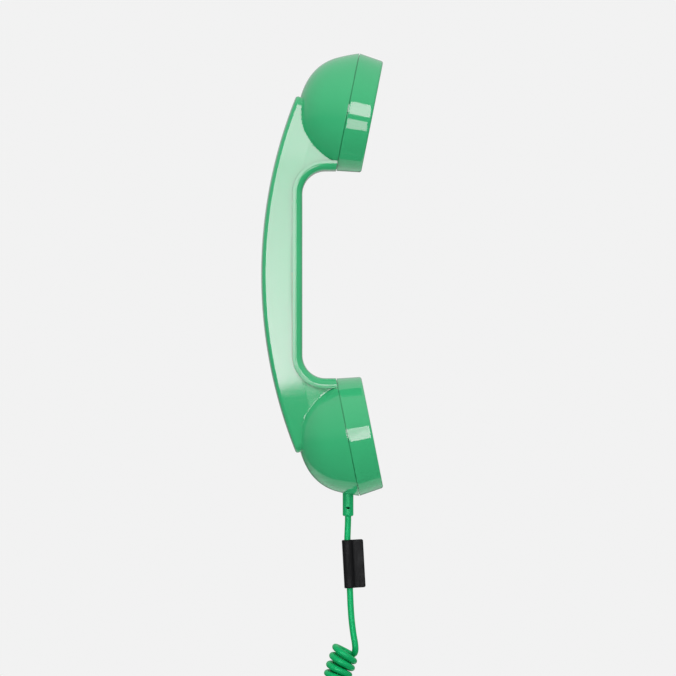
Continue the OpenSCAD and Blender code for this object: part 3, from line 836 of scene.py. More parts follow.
    def settle(self, piece: bpy.types.Object, form: Callable[[Array], Array],
               keep: Callable[[Array], Array] | None = None, reach: float = 0.45) -> None:
        """Draws a cut mesh's outer points onto a form, and shades it by that form.

        Args:
            piece: The mesh.
            form: The distance function of its outer skin.
            keep: Distance to a cut face that points must not leave.
            reach: How far a point may lie from the form and still be drawn to it.
        """
        points = read_points(piece)
        near = np.abs(form(points)) < reach
        held = np.abs(keep(points)) < 0.004 if keep is not None else np.zeros(len(points), bool)
        held_way = unit_rows(gradient(keep, points)) if keep is not None else None
        for _ in range(4):
            slope = gradient(form, points)
            step = -form(points)[:, None] * slope / np.maximum((slope ** 2).sum(1, keepdims=True), 0.3)
            if held_way is not None:
                step[held] -= (step[held] * held_way[held]).sum(1, keepdims=True) * held_way[held]
            points[near] += np.clip(step[near], -0.3, 0.3)
        write_points(piece, points)
        mesh = piece.data
        mesh.shade_smooth()
        centres = np.empty(len(mesh.polygons) * 3)
        mesh.polygons.foreach_get("center", centres)
        centres = centres.reshape(-1, 3) / MM
        flat = np.empty(len(mesh.polygons) * 3)
        mesh.polygons.foreach_get("normal", flat)
        flat = flat.reshape(-1, 3)
        on_skin = (np.abs(form(centres)) < 0.12) & ((unit_rows(gradient(form, centres)) * flat).sum(1) > 0.86)
        totals = np.empty(len(mesh.polygons), int)
        mesh.polygons.foreach_get("loop_total", totals)
        owner = np.repeat(np.arange(len(totals)), totals)
        corner = np.empty(len(mesh.loops), int)
        mesh.loops.foreach_get("vertex_index", corner)
        smooth = unit_rows(gradient(form, points))[corner]
        inward = unit_rows(gradient(form, 0.7 * points[corner] + 0.3 * centres[owner]))
        creased = (smooth * inward).sum(1) < math.cos(math.radians(11))
        smooth[creased] = inward[creased]
        mesh.normals_split_custom_set(np.where(on_skin[owner][:, None], smooth, flat[owner]).tolist())


# ---------------------------------------------------------------- shells


@dataclass
class Shells:
    """The rear shell with its two bowls, and the inner shell with its bead."""

    form: Form
    relief_x: float = 31.5
    relief_hole_r: float = 2.65
    button_z: float = 24
    button_len: float = 20
    button_w: float = 8
    button_gap: float = 0.25

    def grip_block(self) -> bpy.types.Object:
        """The solid grip, drawn onto its rounded form."""
        f = self.form

        def place(values: Array) -> Array:
            """Turns angle, depth and share of width into points."""
            angle, depth, share = values.T
            reach = f.back_r - depth
            return np.stack([f.back_x - reach * np.cos(angle), share * f.side_w(depth),
                             reach * np.sin(angle)], 1)

        counts = (230, 34, 34)
        grades = (graded(-f.tip_a, f.tip_a, counts[0], 0.35), graded(0, f.grip_depth, counts[1], 0.4),
                  graded(-1, 1, counts[2], 0.3))
        grip = block("grip", counts, place, grades)
        points = read_points(grip)
        front = f.back_r - np.hypot(f.back_x - points[:, 0], points[:, 2]) > f.grip_depth - 0.01
        for _ in range(6):
            slope = gradient(f.grip, points)
            step = -f.grip(points)[:, None] * slope / np.maximum((slope ** 2).sum(1, keepdims=True), 0.3)
            points[~front] += np.clip(step[~front], -1, 1)
        inner = front & (f.grip(points) > -0.2)
        points[inner, 1] *= 1 - np.clip(f.grip(points[inner]), 0, 3) / np.maximum(np.abs(points[inner, 1]), 1)
        write_points(grip, points)
        return grip

    def hollow(self) -> bpy.types.Object:
        """The room inside the grip, as a cutter."""
        f = self.form

        def place(values: Array) -> Array:
            """Turns angle, depth and share of width into points."""
            angle, depth, share = values.T
            reach = f.back_r - depth
            return np.stack([f.back_x - reach * np.cos(angle), share * (f.side_w(depth) - f.wall),
                             reach * np.sin(angle)], 1)

        end = f.tip_a - f.wall / f.back_r
        counts = (60, 8, 2)
        return block("grip_room", counts, place, (np.linspace(-end, end, counts[0] + 1),
                     np.linspace(f.wall + 0.4, f.grip_depth, counts[1] + 1),
                     np.linspace(-1, 1, counts[2] + 1)))

    def bay_cutter(self) -> bpy.types.Object:
        """The opening grown by the bead's depth, as a cutter."""
        f = self.form
        r, h, x = f.bay_r + f.bead_depth, f.bay_z + f.bead_depth, f.grip_front - f.bead_depth
        outline = [(90.0, -h)] + [(x + r + p, -(h - r) + q) for p, q in arc((0, 0), r, 270, 180, 64)]
        outline += [(p, -q) for p, q in outline[::-1]]
        count = len(outline)
        vertices = [(p, y, q) for y in (-45, 45) for p, q in outline]
        faces = [list(range(count)), list(range(2 * count - 1, count - 1, -1))]
        faces += [[i, i + count, (i + 1) % count + count, (i + 1) % count] for i in range(count)]
        cutter = make_object("bay_cutter", np.array(vertices), faces)
        mend_normals(cutter)
        return cutter

    def build_rear(self) -> bpy.types.Object:
        """The rear shell."""
        f = self.form
        shell = self.grip_block()
        shell.name = "rear_shell_skin"
        rows = [(0, 3.0), (f.cup_r + 0.9, 3.0)]
        rows += arc(f.c1, f.flank_r, -f.slope + 2.2, -f.slope + 0.1, 4)
        rows += arc(f.c1, f.flank_r, -f.slope, -f.slope - 0.5, 5)
        rows += arc(f.c1, f.flank_r, -f.slope - 0.5, -f.shoulder_at, 14)[1:]
        rows += arc(f.c2, f.shoulder_r, -f.shoulder_at, -f.crown_at, 26)[1:]
        rows += arc(f.c3, f.crown_r, -f.crown_at, -90, 16)[1:-1] + [(0, f.c3[1] - f.crown_r)]
        for end in (1, -1):
            bowl = put(turned("bowl", rows, 256), f.at_cup(end))
            mend_normals(bowl)
            combine(shell, bowl, "UNION")
        for end in (1, -1):
            combine(shell, f.half_space(end, 0), "DIFFERENCE")
            combine(shell, f.bowl_room(end), "DIFFERENCE")
        combine(shell, self.hollow(), "DIFFERENCE")
        combine(shell, self.bay_cutter(), "DIFFERENCE")
        hole = turned("relief_hole", [(0, -112), (self.relief_hole_r, -112), (self.relief_hole_r, -98),
                                      (0, -98)], 48)
        combine(shell, put(hole, np.array([[1, 0, 0, self.relief_x], [0, 1, 0, 0], [0, 0, 1, 0],
                                           [0, 0, 0, 1.0]])),
                "DIFFERENCE")
        f.settle(shell, f.outside, lambda p: f.bay(p, f.bead_depth))
        return dress(shell, "shell", Body.HANDSET, "rear_shell")

    def button_cutter(self) -> bpy.types.Object:
        """The button's opening, flared at the face."""
        f = self.form
        rows = [(0.0, f.grip_front - 6), (0.0, f.grip_front - 0.4), (0.12, f.grip_front - 0.16),
                (0.34, f.grip_front - 0.02), (0.6, f.grip_front + 0.04), (0.6, f.grip_front + 2)]
        return stadium_solid("button_cutter", [(self.button_gap + grow, x) for grow, x in rows],
                             self.button_w, self.button_len, self.button_z)

    def build_inner(self) -> bpy.types.Object:
        """The inner shell: the bead round the opening between the cups."""
        f = self.form
        c, w, d = f.bead_half_w - f.bead_round, f.bead_half_w, f.bead_depth - 0.1
        edge = arc((f.bead_round, c), f.bead_round, 90, 180, 14)
        section = [(d, w), (f.bead_round + 0.2, w), *edge]
        section += [(0, y) for y in np.linspace(c, -c, 12)[1:-1]]
        section += [(p, -q) for p, q in edge[::-1]] + [(f.bead_round + 0.2, -w), (d, -w)]
        inside = w - f.bead_wall
        section += [(d, -inside), (f.wall, -inside), (f.wall, inside), (d, inside)]
        spots, ways = f.bay_path(44)
        count = len(section)
        vertices, faces = [], []
        for spot, way in zip(spots, ways):
            for n, y in section:
                vertices.append((spot[0] + n * way[0], y, spot[1] + n * way[1]))
        for i in range(len(spots) - 1):
            for k in range(count):
                m = (k + 1) % count
                faces.append([i * count + k, i * count + m, (i + 1) * count + m, (i + 1) * count + k])
        faces += [list(range(count)), list(range(len(spots) * count - 1, (len(spots) - 1) * count - 1, -1))]
        shell = make_object("inner_shell_skin", np.array(vertices), faces)
        mend_normals(shell)
        for end in (1, -1):
            combine(shell, f.half_space(end, 0), "DIFFERENCE")
            combine(shell, f.bowl_room(end), "DIFFERENCE")
        combine(shell, self.button_cutter(), "DIFFERENCE")
        f.settle(shell, f.bead, lambda p: np.full(len(p), 9.0), 0.05)
        return dress(shell, "shell", Body.HANDSET, "inner_shell")

    def build(self) -> None:
        """Builds both shells."""
        self.build_rear()
        self.build_inner()


def stadium_solid(name: str, rows: Sequence[tuple[float, float]], width: float, length: float, height: float,
                  fine: int = 24, hollow: float = 0.0) -> bpy.types.Object:
    """A solid with a long rounded outline, built of rows along X.

    Args:
        name: The object's name.
        rows: How far each row stands out from the outline, and its X.
        width: The outline's width along Y.
        length: The outline's length along Z.
        height: Z of the outline's middle.
        fine: Facets in each rounded end.
        hollow: Depth of the dimple in the last row.

    Returns:
        The closed mesh object.
    """
    half = (length - width) / 2
    ways = [(math.cos(a), math.sin(a)) for a in np.linspace(0, math.pi, fine + 1)]
    outline = [(0.5 * width * c, 0.5 * width * s + half, c, s) for c, s in ways]
    outline += [(-y, -z, -p, -q) for y, z, p, q in outline]
    vertices = [(x, y + grow * p, height + z + grow * q) for grow, x in rows for y, z, p, q in outline]
    count = len(outline)
    faces = [[i * count + k, i * count + (k + 1) % count, (i + 1) * count + (k + 1) % count,
              (i + 1) * count + k]
             for i in range(len(rows) - 1) for k in range(count)]
    faces.append(list(range(count)))
    last = len(vertices) - count
    if hollow:
        steps = 8
        top = rows[-1][1]
        for s in range(1, steps):
            share = 1 - s / steps
            x = top - hollow * (1 - share ** 2)
            for k in range(count):
                y, z = vertices[last + k][1], vertices[last + k][2] - height
                vertices.append((x, y * share, height + z * share))
            low = last + (s - 1) * count
            faces += [[low + k, low + (k + 1) % count, low + count + (k + 1) % count, low + count + k]
                      for k in range(count)]
        last = len(vertices) - count
    faces.append(list(range(last, last + count)))
    piece = make_object(name, np.array(vertices), faces)
    mend_normals(piece)
    return piece


# ---------------------------------------------------------------- caps


@dataclass
class Caps:
    """The two caps that screw onto the cups, with their sound holes."""

    form: Form
    length: float = 11.9
    rim_r: float = 27.0
    edge_r: float = 1.2
    dish_r: float = 22.6
    dish: float = 1.45
    flat_r: float = 11.6
    inner: float = 8.3
    collar_len: float = 2
    lip_gap: float = 0.28
    hole_r: float = 1.0
    rings: tuple[tuple[float, int, float], ...] = ((0, 1, 0), (4.6, 6, 90), (9.2, 12, 180))

    def profile(self) -> list[tuple[float, float]]:
        """The cap's section, from its face's middle round to its inside."""
        f = self.form
        low = self.length - self.dish
        rows = [(0.0, low), (5.0, low), (10.6, low), (self.flat_r, low)]
        for r in np.linspace(self.flat_r, self.dish_r, 12)[1:]:
            share = (r - self.flat_r) / (self.dish_r - self.flat_r)
            rows.append((r, low + self.dish * (1 - math.cos(share * math.pi)) / 2))
        rows += [(self.dish_r + 0.8 * k, self.length) for k in (1, 2, 3)]
        slope = math.degrees(math.atan2(f.cup_r - self.rim_r, self.length - self.edge_r - f.seam_gap))
        rows += arc((self.rim_r - self.edge_r, self.length - self.edge_r), self.edge_r, 90, slope, 10)
        top_r = rows[-1][0]
        for k in range(1, 11):
            share = k / 11
            height = self.length - self.edge_r + (f.seam_gap + 0.3 - self.length + self.edge_r) * share
            rows.append((top_r + (f.cup_r - top_r) * share, height))
        rows += arc((f.cup_r - 0.18, self.lip_gap + 0.18), 0.18, 0, -90, 4)
        rows += [(f.cup_r - 0.7, self.lip_gap), (f.cup_r - 0.7, f.seam_gap), (f.collar_r, f.seam_gap),
                 (f.collar_r, -self.collar_len), (f.collar_r - 2, -self.collar_len),
                 (f.collar_r - 2, self.inner), (0.0, self.inner)]
        return rows

    def build(self) -> None:
        """Builds both caps and their holes."""
        for end, name in ((1, "earpiece_cap"), (-1, "mouthpiece_cap")):
            cap = turned(name + "_skin", self.profile(), 224)
            cutters = ring_cutters("hole_cutters", self.hole_r, 0.3, 6, self.rings, finish_of("shell"))
            lift = np.eye(4)
            lift[2, 3] = self.length - self.dish - 0.26
            combine(cap, put(cutters, lift), "DIFFERENCE")
            put(cap, self.form.at_cup(end))
            sharpen(cap, 28)
            dress(cap, "shell", Body.HANDSET, name)


# ---------------------------------------------------------------- button


@dataclass
class PressButton:
    """The sprung button in the grip, with its retaining flange."""

    height: float = 24
    length: float = 20
    width: float = 8
    face: float = 9.55
    flange_front: float = 7.45
    flange_back: float = 6.55
    flange: float = 1.25

    def build(self) -> None:
        """Builds the button."""
        rows = [(self.flange - 0.2, self.flange_back), (self.flange, self.flange_back + 0.2),
                (self.flange, self.flange_front - 0.15), (self.flange - 0.15, self.flange_front),
                (0.02, self.flange_front), (0.0, self.flange_front + 0.1), (0.0, self.face - 0.55),
                (-0.06, self.face - 0.3), (-0.2, self.face - 0.12), (-0.42, self.face - 0.02),
                (-0.7, self.face)]
        button = stadium_solid("button_skin", rows, self.width, self.length, self.height, hollow=0.35)
        sharpen(button, 40)
        dress(button, "button", Body.BUTTON, "button")


# ---------------------------------------------------------------- cord and what is on it


@dataclass
class Cord:
    """The strand from the lower cup through its coil to the plug."""

    strand_r: float = 1.5
    coil_r: float = 5.3
    turns: int = 35
    per_turn: int = 40
    open_turns: float = 3.5
    open_pitch: float = 3.73
    axis_x: float = 27.5
    end_z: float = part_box("cord_coil")[0].z / MM
    tail_z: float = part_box("plug_boot")[1].z / MM - 3.4
    tilt_start: float = 30
    swell: float = 0.04
    exit: tuple[float, float, float] = (31.5, 0, -114.7)
    lead: tuple[tuple[float, float, float], ...] = (
        (31.5, 0, -111.7), (31.5, 0, -114.7), (31.45, 0, -118), (31.3, 0, -122), (31.17, 0, -126),
        (31.36, 0, -131), (31.7, 0, -137.5), (32.05, 0, -144), (32.4, 0, -150), (32.7, 0, -157),
        (33.2, 0, -164), (34.0, 0, -170.5),
        (34.85, 0, -175.5), (35.35, 0, -179.6))

    def centre(self, turn: float) -> tuple[float, float, float]:
        """The coil axis after some turns, as X and Z, with the turns' lean in degrees."""
        begin = -179.3
        drop = self.open_pitch * (self.open_turns - 0.5)
        if turn < self.open_turns:
            z = begin - self.open_pitch * max(0.0, turn - 0.5)
        else:
            top = begin - drop
            z = top + (self.end_z + 1.6 - top) * (turn - self.open_turns) / (self.turns - self.open_turns)
        lean = self.tilt_start * math.exp(-((turn / 4.4) ** 1.4))
        swing = (30.7 - 1.2 * turn if turn < 3.2
                 else 26.86 + (self.axis_x - 26.86) * (1 - math.exp(-(turn - 3.2) / 4)))
        soft = 0.35 * math.exp(-((turn - 3.2) / 0.8) ** 2)
        return swing - soft * 0.6, z, lean

    def route(self) -> Array:
        """The strand's centreline from the strain relief to the plug."""
        spots = smooth_curve(np.array(self.lead, float), 5)
        loop = []
        total = self.turns * self.per_turn
        for k in range(int(0.09 * self.per_turn), total + 1):
            turn = k / self.per_turn
            x, z, lean = self.centre(turn)
            a, t = 2 * math.pi * turn, math.radians(lean)
            left = (self.turns - turn) / 0.6
            shrink = 1.0 if left > 1 else 0.5 - 0.5 * math.cos(math.pi * max(left, 0))
            grow = self.coil_r * shrink
            loop.append((x + grow * math.cos(a) * math.cos(t), grow * math.sin(a),
                         z - grow * math.cos(a) * math.sin(t) - 1.2 * (1 - shrink)))
        last = np.array(loop[-1])
        tail = [(self.axis_x, 0.0, z) for z in np.linspace(last[2] - 3, self.tail_z, 8)]
        rough = np.concatenate([spots, np.array(loop), np.array(tail)])
        return soften(rough, len(spots) - 6, len(spots) + 8, 14)

    def build(self) -> bpy.types.Object:
        """Sweeps the strand along its route with geometry nodes."""
        route = self.route()
        curve = bpy.data.curves.new("strand_line", "CURVE")
        curve.dimensions = "3D"
        line = curve.splines.new("POLY")
        line.points.add(len(route) - 1)
        line.points.foreach_set("co", np.column_stack([route * MM, np.ones(len(route))]).ravel())
        holder = bpy.data.objects.new("strand_line", curve)
        bpy.context.scene.collection.objects.link(holder)
        tool = NodeTool("strand", [("Strand radius", "NodeSocketFloat", self.strand_r * MM),
                                   ("Sides", "NodeSocketInt", 16),
                                   ("Finish", "NodeSocketMaterial", finish_of("cord"))])
        ring = tool.add("GeometryNodeCurvePrimitiveCircle", Resolution=tool.start.outputs["Sides"],
                        Radius=tool.start.outputs["Strand radius"])
        tagged = tool.add("GeometryNodeStoreNamedAttribute", Geometry=ring.outputs[0], Name="round_strand")
        tagged.data_type = "FLOAT_VECTOR"
        tagged.domain = "POINT"
        place = tool.add("GeometryNodeInputPosition")
        scaled = tool.add("ShaderNodeVectorMath", Vector=place.outputs[0])
        scaled.operation = "SCALE"
        scaled.inputs["Scale"].default_value = 1500
        value = next(s for s in tagged.inputs if s.name == "Value" and s.enabled)
        tool.tree.links.new(scaled.outputs[0], value)
        sweep = tool.add("GeometryNodeCurveToMesh", Curve=tool.start.outputs["Geometry"],
                         Profile_Curve=tagged.outputs[0], Fill_Caps=True)
        shaded = tool.add("GeometryNodeSetShadeSmooth", Geometry=sweep.outputs[0])
        tool.finish(shaded.outputs[0])
        strand = tool.bake(holder, "curly_cord")
        self.thicken(strand, route)
        mend_normals(strand)
        strand.data.shade_smooth()
        dress(strand, "cord", None, "cord_lead", "cord_coil", "cord_tail")
        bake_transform(strand)
        return strand

    def thicken(self, strand: bpy.types.Object, route: Array) -> None:
        """Lets the open turns swell a little where the jacket is bent."""
        points = read_points(strand)
        sides = len(points) // len(route)
        owner = np.minimum(np.arange(len(points)) // sides, len(route) - 1)
        centre = route[owner]
        swell = self.swell * np.exp(-(((centre[:, 2] + 184.5) / 6.5) ** 4))
        write_points(strand, centre + (points - centre) * (1 + swell)[:, None])

    def declare(self) -> None:
        route = self.route()
        start = int(np.argmin(np.linalg.norm(route - np.array(self.exit), axis=1)))
        tuple(c * MM for c in self.exit)


def smooth_curve(points: Array, steps: int) -> Array:
    """A smooth curve through points, with some steps between each two."""
    out = []
    last = len(points) - 1
    for i in range(last):
        a, b, c, d = points[max(i - 1, 0)], points[i], points[i + 1], points[min(i + 2, last)]
        for j in range(steps):
            t = j / steps
            out.append(0.5 * (2 * b + t * (c - a) + t * t * (2 * a - 5 * b + 4 * c - d)
                              + t ** 3 * (3 * b - 3 * c + d - a)))
    out.append(points[last])
    return np.array(out)


def soften(points: Array, first: int, last: int, rounds: int) -> Array:
    """Evens out a stretch of a line by averaging each point with its neighbours."""
    out = points.copy()
    for _ in range(rounds):
        out[first:last] += 0.5 * (0.5 * (out[first - 1:last - 1] + out[first + 1:last + 1]) - out[first:last])
    return out


@dataclass
class StrainRelief:
    """The moulded barrel where the cord leaves the lower cup."""

    x: float = 31.5
    radius: float = 2.55
    top: float = -98.7
    end: float = -114.7
    bore: float = 1.52
    socket: float = 3

    def build(self) -> bpy.types.Object:
        """Builds the barrel with its slots."""
        r, edge = self.radius, 0.8
        rows = [(0.0, self.top), (r + 0.7, self.top), (r + 0.7, self.top - 1.6), (r, self.top - 1.6)]
        rows += [(r, z) for z in np.linspace(self.top - 3, self.end + edge + 0.6, 12)]
        rows += arc((r - edge, self.end + edge), edge, 0, -90, 8)
        rows += [(self.bore, self.end), (self.bore, self.end + self.socket), (0.0, self.end + self.socket)]
        barrel = turned("strain_relief_barrel", rows, 64)
        # The slots' cutters carry the black insulator finish as painted shade for the inside of the slots,
        # not the rubber's own colour.
        slots = ring_cutters("slot_cutters", 0.5, 0.06, 2.2, ((0, 1, 0),), finish_of("insulator"))
        stretch = np.diag([2.1, 1, 1, 1.0])
        for side in (-1, 1):
            copy = bpy.data.objects.new("slot", slots.data.copy())
            bpy.context.scene.collection.objects.link(copy)
            turn = np.array([[1, 0, 0, 0], [0, 0, side, side * (r - 0.04)], [0, 1, 0, self.end + 3.9],
                             [0, 0, 0, 1.0]])
            put(copy, turn @ stretch)
            combine(barrel, copy, "DIFFERENCE")
        bpy.data.objects.remove(slots)
        shift = np.eye(4)
        shift[0, 3] = self.x
        put(barrel, shift)
        sharpen(barrel, 35)
        return dress(barrel, "relief", Body.HANDSET, "strain_relief")


@dataclass
class Tag:
    """The blank rubber tag that wraps the cord below the strain relief."""

    top: tuple[float, float, float] = (31.1, 0, -126)
    lean: float = 3.2
    length: float = 22.9
    sleeve_r: float = 2.6
    bore: float = 1.75
    reach: float = 7.5
    half_t: float = 0.75
    corner: float = 0.8

    def outline(self) -> list[tuple[float, float, float, float]]:
        """Points of the section with their outward directions."""
        start = math.degrees(math.asin(self.half_t / self.sleeve_r)) + 7
        rows = [(p, q, p / self.sleeve_r, q / self.sleeve_r)
                for p, q in arc((0, 0), self.sleeve_r, start, 360 - start, 44)]
        tip = arc((self.reach - self.half_t, 0), self.half_t, -90, 90, 12)
        flats = [(x, -self.half_t) for x in np.linspace(self.sleeve_r + 0.35, self.reach - self.half_t,
                                                        8)[:-1]]
        rows += [(x, y, 0.0, -1.0) for x, y in flats]
        rows += [(p, q, (p - self.reach + self.half_t) / self.half_t, q / self.half_t) for p, q in tip]
        rows += [(x, -y, 0.0, 1.0) for x, y in flats[::-1]]
        return rows

    def build(self) -> bpy.types.Object:
        """Builds the tag."""
        outline = self.outline()
        edge = 0.35
        rows = [(edge * (1 - math.cos(a)), edge * (1 - math.sin(a))) for a in np.linspace(math.pi / 2, 0, 6)]
        levels = [(inset, depth) for inset, depth in rows]
        levels += [(0.0, z) for z in np.linspace(edge, self.length - edge, 24)[1:-1]]
        levels += [(inset, self.length - depth) for inset, depth in rows[::-1]]
        vertices = []
        for inset, depth in levels:
            for x, y, p, q in outline:
                out = max(0.0, x - (self.reach - self.corner))
                drop = self.corner - math.sqrt(max(0.0, self.corner ** 2 - min(out, self.corner) ** 2))
                z = min(max(depth, drop), self.length - drop)
                vertices.append((x - inset * p, y - inset * q, -z))
        count = len(outline)
        faces = [[i * count + k, i * count + (k + 1) % count, (i + 1) * count + (k + 1) % count,
                  (i + 1) * count + k] for i in range(len(levels) - 1) for k in range(count)]
        faces += [list(range(count)), list(range(len(levels) * count - count, len(levels) * count))]
        tag = make_object("cord_tag_rubber", np.array(vertices), faces)
        mend_normals(tag)
        hole = turned("tag_hole", [(0, -self.length - 2), (self.bore, -self.length - 2), (self.bore, 2),
                                   (0, 2)], 40)
        combine(tag, hole, "DIFFERENCE")
        a = math.radians(-self.lean)
        matrix = np.array([[math.cos(a), 0, math.sin(a), self.top[0]], [0, 1, 0, 0],
                           [-math.sin(a), 0, math.cos(a), self.top[2]], [0, 0, 0, 1.0]])
        put(tag, matrix)
        sharpen(tag, 35)
        return dress(tag, "tag", Body.HANDSET, "cord_tag")


@dataclass
class Plug:
    """The moulded plug with its ribbed boot, collar and contacts."""

    x: float = 27.5
    boot_top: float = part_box("plug_boot")[1].z / MM
    body_top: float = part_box("plug_body")[1].z / MM
    collar_top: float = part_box("plug_collar")[1].z / MM
    pin_top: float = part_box("plug_collar")[0].z / MM
    body_r: float = 4.2
    pin_r: float = 1.75
    parts: list[bpy.types.Object] = field(default_factory=list)

    def add(self, name: str, rows: Sequence[tuple[float, float]], slot: str, *nodes: str) -> None:
        """Turns one part of the plug and dresses it."""
        part = turned(name, rows, 72)
        shift = np.eye(4)
        shift[0, 3] = self.x
        put(part, shift)
        sharpen(part, 30)
        self.parts.append(dress(part, slot, Body.PLUG, *nodes))

    def build(self) -> list[bpy.types.Object]:
        """Builds every part of the plug."""
        top, base = self.boot_top, self.body_top
        rows = [(0.0, base), (3.4, base)]
        for k in range(5):
            low = base + 0.7 + 1.4 * k
            r = 3.35 - 0.15 * k
            rows += [(r, low), (r, low + 0.62), (r - 0.12, low + 0.72), (r - 0.42, low + 0.8),
                     (r - 0.42, low + 1.15),
                     (r - 0.14, low + 1.25)]
        rows += [(2.5, top - 0.3), (2.2, top), (1.52, top), (1.52, top - 4), (0.0, top - 4)]
        self.add("plug_boot_ribbed", rows, "plug", "plug_boot")
        low, high, r = self.collar_top, self.body_top, self.body_r
        rows = [(0.0, low)] + arc((r - 0.8, low + 0.8), 0.8, -90, 0, 8)
        for k in range(6):
            z = low + 3.2 + 1.1 * k
            rows += [(r, z), (r - 0.02, z + 0.1), (r - 0.22, z + 0.2), (r - 0.22, z + 0.45),
                     (r - 0.02, z + 0.55)]
        rows += arc((r - 0.8, high - 0.8), 0.8, 0, 90, 8) + [(0.0, high)]
        self.add("plug_body_grip", rows, "plug", "plug_body")
        top = self.pin_top
        self.add("plug_collar_ring", [(0.0, top), (2.85, top), (3.05, top + 0.2), (3.05, top + 0.8),
                                      (2.85, top + 1),
                                      (0.0, top + 1)], "steel", "plug_collar")
        level = top
        bands = (("plug_sleeve", 4.2), ("plug_ring_upper", 2.0), ("plug_ring_lower", 2.0))
        for name, length in bands:
            self.add(name + "_band", [(0.0, level - length), (self.pin_r, level - length),
                                      (self.pin_r, level),
                                      (0.0, level)], "contact", name)
            level -= length + 0.6
        tip = level - 4
        rows = [(0.0, tip), (0.3, tip + 0.02), (0.5, tip + 0.1), (1.0, tip + 0.75), (1.36, tip + 1.4),
                (1.4, tip + 1.6), (1.36, tip + 1.8), (1.12, tip + 2.3), (1.12, tip + 2.45), (1.7, tip + 3.05),
                (self.pin_r, tip + 3.15), (self.pin_r, level), (0.0, level)]
        self.add("plug_tip_nose", rows, "contact", "plug_tip")
        return self.parts


# ---------------------------------------------------------------- setting


